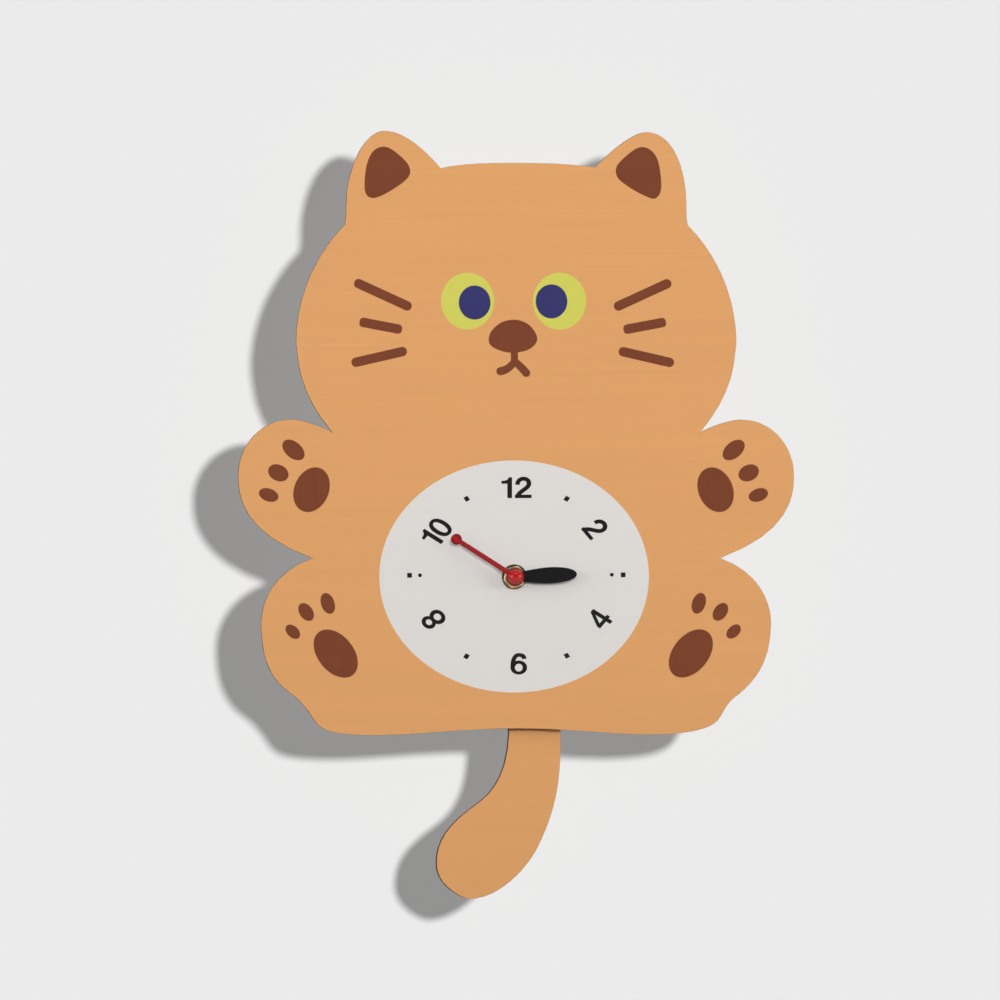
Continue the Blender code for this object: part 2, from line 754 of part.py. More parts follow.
def make_rear_case():
    """The half of the case against the wall: battery bay, well of the setting knob and hanger."""
    outer, inner = case_rim()
    hollow = [outer, inner] + bay_ribs()
    hollow += [circle(POST_RADIUS, place) for place in PLATE_POSTS]
    well = circle(WELL_OUTER_RADIUS, MOTION)
    well_hole = bore(WELL_RADIUS, MOTION)
    arbor_hole = bore(MOTION_ARBOR_RADIUS + RUNNING_CLEARANCE, MOTION)
    pin_boss = [
        circle(PIVOT_BOSS_RADIUS, PENDULUM_PIVOT),
        bore(PIVOT_PIN_RADIUS + PIN_FIT, PENDULUM_PIVOT),
    ]
    board_posts = [circle(1.2, place) for place in BOARD_POSTS]
    bosses = []
    for place in (CENTRE, THIRD, SECONDS, INTERMEDIATE):
        bosses += [circle(BOSS_RADIUS, place), bore(PIVOT_RADIUS + RUNNING_CLEARANCE, place)]
    bosses += [circle(BOSS_RADIUS, ROTOR), bore(ROTOR_PIVOT_RADIUS + RUNNING_CLEARANCE, ROTOR)]
    battery_window = rectangle(
        -BATTERY_WINDOW_HALF_WIDTH,
        BATTERY_WINDOW_HALF_WIDTH,
        BAY_BOTTOM + BATTERY_WINDOW_MARGIN,
        BAY_TOP - BATTERY_WINDOW_MARGIN,
        1.0,
    )
    case = stack(
        "movement_rear_case",
        "black_plastic",
        [
            (REAR_CASE_FRONT, WELL_FLOOR[0], hollow),
            (WELL_FLOOR[0], WELL_FLOOR[1], hollow + [well, arbor_hole]),
            (WELL_FLOOR[1], REAR_PIVOT_BOSS_FRONT, hollow + [well, well_hole]),
            (REAR_PIVOT_BOSS_FRONT, BOARD_POST_FRONT, hollow + [well, well_hole] + pin_boss),
            (
                BOARD_POST_FRONT,
                BOSS_FRONT,
                hollow + [well, well_hole] + pin_boss + board_posts,
            ),
            (
                BOSS_FRONT,
                REAR_WALL_FRONT,
                hollow + [well, well_hole] + pin_boss + board_posts + bosses,
            ),
            (REAR_WALL_FRONT, 0.0, [outer, well_hole, battery_window]),
        ],
    )
    loop, slot = hanger_outlines()
    hanger = stack("hanger_tool", "black_plastic", [(-HANGER_DEPTH, 0.0, [loop, slot])])
    combine(case, hanger, "UNION")


def make_gear_plate():
    """The middle plate, with a hole for each front pivot and arbor."""
    margin = 0.4
    edge = rectangle(
        margin - INNER_HALF_WIDTH, INNER_HALF_WIDTH - margin, BAY_TOP + 1.6, INNER_TOP - margin, 1.5
    )
    holes = [bore(PIVOT_RADIUS + RUNNING_CLEARANCE, p) for p in (THIRD, SECONDS, INTERMEDIATE)]
    holes.append(bore(ROTOR_PIVOT_RADIUS + RUNNING_CLEARANCE, ROTOR))
    holes.append(bore(MOTION_ARBOR_RADIUS + RUNNING_CLEARANCE, MOTION))
    holes.append(bore(CLUTCH_RADIUS + RUNNING_CLEARANCE))
    stack("gear_plate", "white_plastic", [(*GEAR_PLATE, [edge] + holes)])


def make_clamping_parts():
    """The threaded bush and what the nut squeezes against the board."""
    flange = (FRONT_WALL_BACK + TOUCH_GAP, -14.7)
    stack(
        "threaded_bush",
        "brass",
        [
            (BUSH_FRONT, flange[0], [circle(THREAD_RADIUS), bore(BUSH_BORE_RADIUS)]),
            (flange[0], flange[1], [circle(5.5), bore(BUSH_BORE_RADIUS)]),
        ],
    )
    stack("rubber_washer", "black_rubber", [(*RUBBER_WASHER, [circle(9.0), bore(4.3)])])
    stack("brass_washer", "brass", [(*BRASS_WASHER, [circle(6.2), bore(4.2)])])
    hexagon = [polar(10.0 / math.sqrt(3), 60 * i + 15) for i in range(6)]
    nut = stack("hex_nut", "brass", [(*HEX_NUT, [hexagon, bore(THREAD_RADIUS + RUNNING_CLEARANCE)])])
    bevel = nut.modifiers.new("eased_edges", "BEVEL")
    bevel.width = 0.25 * MM
    bevel.segments = 1
    bevel.limit_method = "ANGLE"
    bevel.angle_limit = math.radians(50)


# ---- wheels and hands ------------------------------------------------------------------------------

CLUTCH_RADIUS = 1.5
CLUTCH_FIT = 0.02
FRONT_PIVOT_END = -9.3
REAR_PIVOT_END = -1.5
PLATE_SHOULDER = -8.3
REAR_SHOULDER = -2.8

CANNON_PHASE = 0.0
MOTION_WHEEL_PHASE = meshing_phase(CANNON_PINION, CANNON_PHASE, MOTION_WHEEL, CENTRE_TO_MOTION)
MOTION_PINION_PHASE = MOTION_WHEEL_PHASE
HOUR_WHEEL_PHASE = meshing_phase(
    MOTION_PINION, MOTION_PINION_PHASE, HOUR_WHEEL, CENTRE_TO_MOTION + 180
)
CENTRE_WHEEL_PHASE = 0.0
THIRD_PINION_PHASE = meshing_phase(CENTRE_WHEEL, CENTRE_WHEEL_PHASE, THIRD_PINION, CENTRE_TO_THIRD)
THIRD_WHEEL_PHASE = THIRD_PINION_PHASE
SECONDS_PINION_PHASE = meshing_phase(
    THIRD_WHEEL, THIRD_WHEEL_PHASE, SECONDS_PINION, THIRD_TO_SECONDS
)
SECONDS_WHEEL_PHASE = SECONDS_PINION_PHASE
INTERMEDIATE_PINION_PHASE = meshing_phase(
    SECONDS_WHEEL, SECONDS_WHEEL_PHASE, INTERMEDIATE_PINION, SECONDS_TO_INTERMEDIATE
)
INTERMEDIATE_WHEEL_PHASE = INTERMEDIATE_PINION_PHASE
ROTOR_PINION_PHASE = meshing_phase(
    INTERMEDIATE_WHEEL, INTERMEDIATE_WHEEL_PHASE, ROTOR_PINION, INTERMEDIATE_TO_ROTOR
)


def make_motion_work():
    """The wheels in front of the gear plate, which turn the hour hand at a twelfth of the speed."""
    pipe = [circle(HOUR_PIPE_RADIUS), bore(MINUTE_ARBOR_RADIUS + RUNNING_CLEARANCE)]
    stack(
        "hour_wheel",
        "white_plastic",
        [
            (HOUR_PIPE_FRONT, -14.2, pipe),
            (-14.2, -13.2, [gear_outline(HOUR_WHEEL, HOUR_WHEEL_PHASE), pipe[1]]),
            (-13.2, -12.8, [circle(3.6), pipe[1]]),
        ],
    )
    arbor = circle(MINUTE_ARBOR_RADIUS)
    stack(
        "minute_arbor",
        "white_plastic",
        [
            (MINUTE_ARBOR_FRONT, -12.5, [arbor]),
            (-12.5, -11.2, [gear_outline(CANNON_PINION, CANNON_PHASE)]),
            (-11.2, -6.9, [circle(CLUTCH_RADIUS)]),
            (-6.9, REAR_SHOULDER, [circle(0.8)]),
            (REAR_SHOULDER, REAR_PIVOT_END, [circle(PIVOT_RADIUS)]),
        ],
    )
    stack(
        "motion_wheel",
        "white_plastic",
        [
            (-15.5, -14.5, [circle(PIVOT_RADIUS)]),
            (-14.5, -12.3, [gear_outline(MOTION_PINION, MOTION_PINION_PHASE)]),
            (-12.3, -11.3, [gear_outline(MOTION_WHEEL, MOTION_WHEEL_PHASE)]),
            (-11.3, -1.9, [circle(MOTION_ARBOR_RADIUS)]),
        ],
        at=MOTION,
    )
    knob_front = WELL_FLOOR[1] + 0.4
    knob_bore = bore(MOTION_ARBOR_RADIUS + PIN_FIT)
    grip = [
        polar(5.4 if i % 2 else 5.0, 360 * (i + side) / 36)
        for i in range(36)
        for side in (-0.22, 0.22)
    ]
    stack(
        "setting_knob",
        "black_plastic",
        [(knob_front, -1.6, [grip, knob_bore]), (-1.6, -0.6, [grip])],
        at=MOTION,
    )


def make_going_train():
    """The wheels behind the gear plate, from the rotor down to the centre wheel."""
    pivot = circle(PIVOT_RADIUS)
    arbor = circle(ARBOR_RADIUS)
    stack(
        "centre_wheel",
        "white_plastic",
        [
            (
                -8.0,
                -7.2,
                [gear_outline(CENTRE_WHEEL, CENTRE_WHEEL_PHASE), bore(CLUTCH_RADIUS + CLUTCH_FIT)],
            ),
            (-7.2, -6.9, [circle(3.0), bore(CLUTCH_RADIUS + CLUTCH_FIT)]),
        ],
    )
    trains = (
        ("third_wheel", THIRD, (-8.1, -6.4, -5.6), THIRD_PINION, THIRD_PINION_PHASE,
         THIRD_WHEEL, THIRD_WHEEL_PHASE),
        ("seconds_wheel", SECONDS, (-6.7, -5.0, -4.2), SECONDS_PINION, SECONDS_PINION_PHASE,
         SECONDS_WHEEL, SECONDS_WHEEL_PHASE),
        ("intermediate_wheel", INTERMEDIATE, (-5.3, -3.6, -2.9), INTERMEDIATE_PINION,
         INTERMEDIATE_PINION_PHASE, INTERMEDIATE_WHEEL, INTERMEDIATE_WHEEL_PHASE),
    )
    for name, place, depths, pinion, pinion_phase, wheel, wheel_phase in trains:
        pinion_front, wheel_front, wheel_back = depths
        stack(
            name,
            "white_plastic",
            [
                (FRONT_PIVOT_END, PLATE_SHOULDER, [pivot]),
                (PLATE_SHOULDER, pinion_front, [arbor]),
                (pinion_front, wheel_front, [gear_outline(pinion, pinion_phase)]),
                (wheel_front, wheel_back, [gear_outline(wheel, wheel_phase)]),
                (wheel_back, REAR_SHOULDER, [arbor]),
                (REAR_SHOULDER, REAR_PIVOT_END, [pivot]),
            ],
            at=place,
        )
    rotor_pivot = circle(ROTOR_PIVOT_RADIUS)
    stack(
        "rotor_pinion",
        "white_plastic",
        [
            (FRONT_PIVOT_END, PLATE_SHOULDER, [rotor_pivot]),
            (PLATE_SHOULDER, -3.9, [arbor]),
            (-3.9, REAR_SHOULDER, [gear_outline(ROTOR_PINION, ROTOR_PINION_PHASE)]),
            (REAR_SHOULDER, REAR_PIVOT_END, [rotor_pivot]),
        ],
        at=ROTOR,
    )
    stack(
        "rotor_magnet",
        "magnet",
        [(-7.0, -4.2, [circle(2.6), bore(ARBOR_RADIUS + CLUTCH_FIT)])],
        at=ROTOR,
    )


def hour_hand_outline():
    """A broad leaf that grows out of the round hub and ends in a round tip."""
    half = HOUR_HAND_HALF_WIDTH
    root = 2.6
    root_angle = math.degrees(math.acos(root / HOUR_HUB_RADIUS))
    hub = arc((0.0, 0.0), HOUR_HUB_RADIUS, 180 - root_angle, 360 + root_angle, 18)
    right = smooth_run(
        hub[-1],
        ((3.0, 8.0), (half, 12.0), (half, 18.0)),
        ((half, 24.0), (2.7, HOUR_HAND_LENGTH), (0.0, HOUR_HAND_LENGTH)),
    )
    left = mirrored(right[1:-1])
    return hub + right[1:] + left


def minute_hand_outline():
    """A straight rod between the round hub and a round tip."""
    half = MINUTE_ROD_HALF_WIDTH
    at_hub = math.degrees(math.acos(half / MINUTE_HUB_RADIUS))
    at_tip = math.degrees(math.acos(half / MINUTE_TIP_RADIUS))
    tip = (0.0, MINUTE_HAND_LENGTH)
    hub = arc((0.0, 0.0), MINUTE_HUB_RADIUS, 180 - at_hub, 360 + at_hub, 20)
    return hub + arc(tip, MINUTE_TIP_RADIUS, -at_tip, 180 + at_tip, 16)


def make_hands():
    """The two hands and the dome over the end of the minute arbor."""
    stack(
        "hour_hand",
        "black_paint",
        [(*HOUR_HAND, [hour_hand_outline(), bore(HOUR_PIPE_RADIUS + PIN_FIT)])],
        turn=HOUR_HAND_ANGLE,
    )
    stack(
        "minute_hand",
        "red_paint",
        [(*MINUTE_HAND, [minute_hand_outline(), bore(MINUTE_ARBOR_RADIUS + PIN_FIT)])],
        turn=MINUTE_HAND_ANGLE,
    )
    socket = MINUTE_ARBOR_RADIUS + RUNNING_CLEARANCE
    socket_end = MINUTE_ARBOR_FRONT - TOUCH_GAP
    dome = [
        (CAP_RADIUS * math.cos(a), CAP_RIM + (CAP_FRONT - CAP_RIM) * math.sin(a))
        for a in (math.pi / 2 * i / 6 for i in range(6))
    ]
    profile = [(0.0, socket_end), (socket, socket_end), (socket, CAP_BACK), (CAP_RADIUS, CAP_BACK)]
    turned("centre_cap", "red_plastic", profile + dome + [(0.0, CAP_FRONT)], steps=24)


# ---- electrical parts ------------------------------------------------------------------------------

COIL_X = -20.5
COIL_DEPTH = -4.9
COIL_ENDS = (6.8, 21.0)
COIL_FLANGE = 0.8
STATOR_PLATE = (-6.4, -5.6)
COIL_CORE = (-5.3, -4.5)


def make_motor():
    """The stepping motor's coil, core and the stator plate around the rotor."""
    low, high = COIL_ENDS
    core_hole = bore(3.1, ROTOR)
    plate = [
        (-4.2, 3.6), (-4.2, 24.4), (-22.6, 24.4), (-22.6, 21.6),
        (-16.6, 21.6), (-16.6, 6.4), (-22.6, 6.4), (-22.6, 3.6),
    ]
    stack("stator_plate", "steel", [(*STATOR_PLATE, [plate, core_hole])])
    core = rectangle(COIL_X - 1.2, COIL_X + 1.2, 3.6, 24.4)
    stack("coil_core", "steel", [(*COIL_CORE, [core])])
    tube = 1.5
    wall = 2.0
    flange = 3.1
    profile = [
        (tube, low), (flange, low), (flange, low + COIL_FLANGE), (wall, low + COIL_FLANGE),
        (wall, high - COIL_FLANGE), (flange, high - COIL_FLANGE), (flange, high), (tube, high),
    ]
    centre = (COIL_X, COIL_DEPTH, 0.0)
    turned("motor_coil_bobbin", "white_plastic", profile, "Z", centre, steps=20)
    start = low + COIL_FLANGE + TOUCH_GAP
    end = high - COIL_FLANGE - TOUCH_GAP
    wire = [(wall + 0.1, start), (2.8, start), (2.8, end), (wall + 0.1, end)]
    turned("motor_coil_winding", "copper_wire", wire, "Z", centre, steps=20)


def make_circuit():
    """The clock's circuit board with its crystal and its chip under a blob of resin."""
    stack("circuit_board", "circuit_board", [(-4.0, -3.0, [rectangle(15.6, 26.6, -12.2, 24.0, 0.8)])])
    turned(
        "quartz_crystal",
        "steel",
        [(0.0, 0.0), (0.9, 0.0), (1.0, 0.1), (1.0, 5.8), (0.9, 6.0), (0.0, 6.0)],
        "Z",
        (23.0, -5.3, 12.0),
        steps=14,
    )
    turned(
        "clock_chip",
        "black_plastic",
        [(0.0, -5.4), (1.4, -5.25), (2.5, -4.8), (2.9, -4.3), (0.0, -4.3)],
        "Y",
        (20.0, 0.0, 3.0),
        steps=20,
    )


def make_pendulum_drive():
    """The coil that pushes the pendulum's magnet, its board and the pin the arm swings on."""
    magnet_height = PENDULUM_PIVOT[1] - MAGNET_DROP
    place = (0.0, 0.0, magnet_height)
    front, back = -6.6, -1.5
    bobbin = [
        (1.5, front), (7.0, front), (7.0, front + 0.8), (2.5, front + 0.8),
        (2.5, back - 0.8), (7.0, back - 0.8), (7.0, back), (1.5, back),
    ]
    turned("pendulum_coil_bobbin", "white_plastic", bobbin, "Y", place, steps=28)
    wire_front = front + 0.8 + TOUCH_GAP
    wire_back = back - 0.8 - TOUCH_GAP
    wire = [(2.8, wire_front), (6.4, wire_front), (6.4, wire_back), (2.8, wire_back)]
    turned("pendulum_coil_winding", "copper_wire", wire, "Y", place, steps=28)
    stack("pendulum_board", "circuit_board", [(-2.8, -1.8, [rectangle(11.5, 25.0, -58.0, -38.0, 0.8)])])
    pin = circle(PIVOT_PIN_RADIUS)
    pin_ends = (FRONT_WALL_BACK + TOUCH_GAP, REAR_WALL_FRONT - TOUCH_GAP)
    stack("pendulum_pivot_pin", "steel", [(*pin_ends, [pin])], at=PENDULUM_PIVOT)


def make_battery():
    """The cell and the sprung strips that lead from its ends to the circuit board."""
    depth, height = BATTERY_AXIS
    half = BATTERY_BODY_LENGTH / 2
    radius = BATTERY_RADIUS
    profile = [
        (0.0, -half), (radius - 0.6, -half), (radius, 0.6 - half),
        (radius, half - 0.6), (radius - 0.6, half), (2.75, half),
        (2.75, half + 1.1), (2.5, half + 1.3), (0.0, half + 1.3),
    ]
    turned("battery", "battery_jacket", profile, "X", (0.0, depth, height), steps=24)
    strip_depths = (-8.0, -4.4)
    thickness = 0.4
    positive = [(26.5, -28.0), (26.5, -7.8), (21.0, -7.8)]
    stack("battery_positive_contact", "steel", [(*strip_depths, [bent_strip(positive, thickness)])])
    negative = [
        (-25.2, -19.0), (-25.2, -25.0), (-26.8, -28.6), (-26.8, -12.5), (20.0, -12.5), (20.0, -10.0),
    ]
    stack("battery_negative_contact", "steel", [(*strip_depths, [bent_strip(negative, thickness)])])


def main():
    clear_scene()
    make_cat_boards()
    make_pendulum()
    make_front_case()
    make_rear_case()
    make_gear_plate()
    make_clamping_parts()
    make_motion_work()
    make_going_train()
    make_hands()
    make_motor()
    make_circuit()
    make_pendulum_drive()
    make_battery()


main()
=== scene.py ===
"""Looks of the cat tail clock: a printed plywood cat with a quartz movement and a swinging tail.

Lengths named _MM and all outlines are in millimetres in the row frame, as (x, z) seen from the front.
The row frame is in metres: +Z is up the cat, -Y comes out of the dial, and the hands turn about Y.
"""

import math

import bmesh
import bpy
import numpy as np
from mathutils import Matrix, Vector
from mathutils.geometry import delaunay_2d_cdt


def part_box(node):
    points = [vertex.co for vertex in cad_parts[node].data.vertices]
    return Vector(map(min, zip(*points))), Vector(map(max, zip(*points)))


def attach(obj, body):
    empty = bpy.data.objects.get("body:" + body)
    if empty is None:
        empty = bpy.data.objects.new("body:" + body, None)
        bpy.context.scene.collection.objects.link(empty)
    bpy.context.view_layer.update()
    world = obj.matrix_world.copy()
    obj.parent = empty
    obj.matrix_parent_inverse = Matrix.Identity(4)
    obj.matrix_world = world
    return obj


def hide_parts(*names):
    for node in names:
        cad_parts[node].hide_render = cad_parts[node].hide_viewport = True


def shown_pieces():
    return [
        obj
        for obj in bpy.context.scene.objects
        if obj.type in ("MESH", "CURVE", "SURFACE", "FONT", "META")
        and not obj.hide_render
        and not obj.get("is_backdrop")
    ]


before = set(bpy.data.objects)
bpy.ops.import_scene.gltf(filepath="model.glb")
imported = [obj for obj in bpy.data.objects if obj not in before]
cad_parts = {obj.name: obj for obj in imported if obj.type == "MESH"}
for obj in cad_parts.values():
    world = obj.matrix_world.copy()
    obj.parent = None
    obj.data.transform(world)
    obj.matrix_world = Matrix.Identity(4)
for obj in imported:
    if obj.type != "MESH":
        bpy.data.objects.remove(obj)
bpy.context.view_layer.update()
MM = 0.001
# The minute hand at rest: degrees clockwise from 12, and from the axis to the middle of its round tip.
MINUTE_HAND_ANGLE = 302.5
MINUTE_HAND_LENGTH_MM = 34.7
MINUTE_ROD_RADIUS_MM = 1.25
MINUTE_HUB_RADIUS_MM = 4.5
MINUTE_TIP_RADIUS_MM = 2.8


# ---- outlines ----


def at(outline, place):
    return [(x + place[0], z + place[1]) for x, z in outline]


def turned(outline, degrees):
    """The outline turned anticlockwise, as seen from the front, about (0, 0)."""
    c = math.cos(math.radians(degrees))
    s = math.sin(math.radians(degrees))
    return [(c * x - s * z, s * x + c * z) for x, z in outline]


def scaled(outline, across, up):
    return [(x * across, z * up) for x, z in outline]


def ellipse(centre, across, up, tilt=0.0, steps=64, power=2.0):
    """An ellipse, or with power over 2 a fuller one."""
    points = []
    for i in range(steps):
        a = 2 * math.pi * i / steps
        c, s = math.cos(a), math.sin(a)
        x = across * math.copysign(abs(c) ** (2 / power), c)
        z = up * math.copysign(abs(s) ** (2 / power), s)
        points.append((x, z))
    return at(turned(points, tilt), centre)


def rectangle(left, right, bottom, top):
    return [(left, bottom), (right, bottom), (right, top), (left, top)]


def smooth_closed(knots, steps=8):
    """A closed Catmull-Rom curve through the knots."""
    points = []
    count = len(knots)
    for i in range(count):
        p0, p1, p2, p3 = (Vector(knots[(i + k - 1) % count]) for k in range(4))
        bend = 2 * p0 - 5 * p1 + 4 * p2 - p3
        twist = 3 * p1 - p0 - 3 * p2 + p3
        for j in range(steps):
            t = j / steps
            points.append(tuple(0.5 * (2 * p1 + (p2 - p0) * t + bend * t**2 + twist * t**3)))
    return points


def bezier(p0, p1, p2, p3, steps=10):
    """An open cubic curve, with both of its ends."""
    points = []
    for i in range(steps + 1):
        t = i / steps
        u = 1 - t
        weights = (u**3, 3 * u * u * t, 3 * u * t * t, t**3)
        points.append(tuple(sum(w * p[k] for w, p in zip(weights, (p0, p1, p2, p3))) for k in range(2)))
    return points


def pen_stroke(line, widths, round_end=False, cap_steps=8):
    """The outline of a pen stroke along a line, with a width at each of its points."""
    left, right = [], []
    for i, point in enumerate(line):
        before = Vector(line[max(i - 1, 0)])
        after = Vector(line[min(i + 1, len(line) - 1)])
        along = (after - before).normalized()
        side = Vector((-along.y, along.x)) * (widths[i] / 2)
        left.append(tuple(Vector(point) + side))
        right.append(tuple(Vector(point) - side))
    if round_end:
        centre = line[-1]
        arm = Vector(left[-1]) - Vector(centre)
        for i in range(1, cap_steps):
            a = -math.pi * i / cap_steps
            c, s = math.cos(a), math.sin(a)
            left.append((centre[0] + c * arm.x - s * arm.y, centre[1] + s * arm.x + c * arm.y))
    return left + right[::-1]


def bar(start, end, width, corner, steps=8):
    """A bar with rounded corners that reaches from start to end."""
    length = math.dist(start, end)
    half = width / 2
    corners = [(length - corner, half - corner, 0), (corner, half - corner, 90)]
    corners += [(corner, corner - half, 180), (length - corner, corner - half, 270)]
    points = []
    for x, z, first in corners:
        for i in range(steps + 1):
            a = math.radians(first + 90 * i / steps)
            points.append((x + corner * math.cos(a), z + corner * math.sin(a)))
    return at(turned(points, math.degrees(math.atan2(end[1] - start[1], end[0] - start[0]))), start)


# ---- printed artwork ----

# The inner ears and the nose, as the knots of smooth closed curves.
EARS_AND_NOSE_MM = {
    "left_ear": [
        (-64.6, 213.1), (-70.4, 210.5), (-73.7, 202.2), (-73.9, 190.2),
        (-67.7, 188.1), (-54.0, 196.5), (-52.1, 203.0), (-58.3, 209.9),
    ],
    "right_ear": [
        (62.7, 213.0), (70.7, 208.1), (73.1, 193.6), (70.2, 187.6),
        (64.2, 189.2), (56.4, 193.6), (51.0, 198.6), (51.9, 205.0),
    ],
    "nose": [
        (1.6, 127.3), (-6.1, 126.2), (-11.8, 121.1), (-11.9, 114.9),
        (-3.4, 111.2), (6.6, 112.4), (11.4, 117.5), (8.2, 124.1),
    ],
}
# The mouth as pen lines, with the pen's width where they start and where they end.
MOUTH_STEM_MM = [(0.05, 113.0), (0.05, 106.6)]
MOUTH_LEFT_MM = bezier((0.4, 107.2), (-1.3, 104.5), (-3.5, 102.5), (-6.9, 101.9), 8)
MOUTH_RIGHT_MM = bezier((-0.3, 107.2), (1.7, 105.5), (3.8, 103.6), (5.9, 101.1), 8)
MOUTH_WIDTHS_MM = (3.5, 4.1)
# The left whiskers as end to end lines. The right ones are their mirror image.
WHISKERS_MM = [
    ((-79.4, 146.2), (-51.2, 133.3)),
    ((-76.9, 126.4), (-55.8, 122.4)),
    ((-80.9, 105.8), (-53.4, 112.1)),
]
WHISKER_MIDDLE_MM = -0.75
WHISKER_WIDTH_MM = 4.72
# The corner radius of each pair.
WHISKER_CORNERS_MM = (2.25, 1.9, 2.3)
# The left pads as centre, half length, half width and tilt of the long axis from level, in degrees.
PADS_MM = [
    ((-109.7, 62.9), 6.4, 4.0, -40),
    ((-117.2, 51.55), 5.3, 4.0, -25),
    ((-122.0, 40.6), 5.0, 3.2, -19),
    ((-100.7, 43.2), 11.5, 8.6, 67),
    ((-110.0, -27.1), 4.25, 2.8, -44),
    ((-103.4, -17.35), 4.9, 3.3, -55),
    ((-92.65, -13.1), 5.35, 3.35, -71),
    ((-88.7, -37.95), 13.6, 8.9, -51),
]
# The upright lines in which the pads of the paws and of the feet are mirrored.
PAW_MIDDLE_MM = -0.3
FOOT_MIDDLE_MM = -0.45
# The middles of each eye and its pupil.
EYES_MM = [((-23.2, 136.6), (-19.7, 135.9)), ((22.5, 136.6), (18.5, 136.5))]
EYE_HALF_MM = (13.2, 14.1)
PUPIL_HALF_MM = (7.9, 8.45)

DIAL_CENTRE_MM = (-0.05, 0.2)
DIAL_HALF_HEIGHT_MM = 57.5
DIAL_STRETCH = 1.165
DIGIT_HEIGHT_MM = 10.3
DIGIT_TURN = 54.0
# Digits with their middle, before the dial is stretched to an ellipse, and their turn.
DIGITS_MM = [
    ("12", (0.9, 44.0), 0.0),
    ("2", (34.6, 23.8), -DIGIT_TURN),
    ("4", (36.4, -21.1), DIGIT_TURN),
    ("6", (1.9, -43.3), 0.0),
    ("8", (-34.5, -21.3), 180.0 - DIGIT_TURN),
    ("10", (-33.2, 22.0), DIGIT_TURN),
]
# Square marks, also before the stretch, with their turn.
MARKS_MM = [
    ((22.4, 38.5), -30.0),
    ((46.5, 0.8), 0.0),
    ((22.45, -39.25), 30.0),
    ((-20.35, -39.55), -30.0),
    ((-44.65, 0.6), 0.0),
    ((-20.25, 38.5), 30.0),
]
MARK_HALF_MM = 1.18
DOTS_MM = [(-40.2, 0.6), (41.65, 0.85)]
DOT_HALF_MM = 0.95
# The gap after a digit, and the smaller one after a 1, in digit heights.
DIGIT_GAP = 0.10
ONE_GAP = 0.06


def mirrored(outline, middle):
    """The outline's mirror image in an upright line."""
    return [(2 * middle - x, z) for x, z in outline[::-1]]


def glyph(digit):
    """Strokes of a bold digit of height 1, and its width."""
    if digit == "0":
        middle = (0.35, 0.5)
        return [[ellipse(middle, 0.345, 0.51, power=2.25), ellipse(middle, 0.155, 0.35, power=2.2)]], 0.70
    if digit == "1":
        flag = bezier((0.33, 1.0), (0.31, 0.87), (0.22, 0.83), (0.03, 0.83), 6)
        return [[[(0.47, 0.0), (0.47, 1.0)] + flag + [(0.03, 0.69), (0.275, 0.69), (0.275, 0.0)]]], 0.50
    if digit == "2":
        line = (
            bezier((0.130, 0.64), (0.130, 1.02), (0.62, 1.02), (0.615, 0.70), 12)
            + bezier((0.615, 0.70), (0.61, 0.44), (0.18, 0.36), (0.130, 0.04), 10)[1:]
        )
        widths = [0.190] * len(line)
        return [[pen_stroke(line, widths)], [rectangle(0.03, 0.720, 0.0, 0.165)]], 0.735
    if digit == "4":
        stem = rectangle(0.42, 0.60, 0.0, 1.0)
        bar_across = rectangle(0.0, 0.71, 0.21, 0.375)
        slope = [(0.0, 0.37), (0.0, 0.30), (0.14, 0.30), (0.45, 0.80), (0.45, 1.0), (0.41, 1.0)]
        return [[stem], [bar_across], [slope]], 0.71
    if digit == "6":
        bowl = [ellipse((0.355, 0.325), 0.345, 0.34), ellipse((0.355, 0.32), 0.16, 0.185)]
        line = bezier((0.105, 0.30), (0.08, 0.98), (0.36, 0.94), (0.40, 0.925), 10)
        line += bezier((0.40, 0.925), (0.52, 0.92), (0.575, 0.86), (0.585, 0.74), 6)[1:]
        return [bowl, [pen_stroke(line, [0.185] * len(line))]], 0.70
    lower = [ellipse((0.35, 0.29), 0.365, 0.312), ellipse((0.35, 0.29), 0.168, 0.148)]
    upper = [ellipse((0.35, 0.737), 0.325, 0.275), ellipse((0.35, 0.72), 0.145, 0.122)]
    return [lower, upper], 0.70


def on_dial(outline):
    """From the round dial's own plane to its place on the board, where it is an ellipse."""
    return at(scaled(outline, DIAL_STRETCH, 1.0), DIAL_CENTRE_MM)


def digit_shapes(text, middle, turn):
    """A number's strokes in their place on the dial, each as a list of loops."""
    strokes, pen = [], 0.0
    for digit in text:
        shapes, width = glyph(digit)
        strokes += [[at(loop, (pen, 0.0)) for loop in shape] for shape in shapes]
        gap = ONE_GAP if digit == "1" else DIGIT_GAP
        pen += width + gap
    width = pen - gap

    def placed(loop):
        small = scaled(at(loop, (-width / 2, -0.5)), DIGIT_HEIGHT_MM, DIGIT_HEIGHT_MM)
        return on_dial(at(turned(small, turn), middle))

    return [[placed(loop) for loop in stroke] for stroke in strokes]


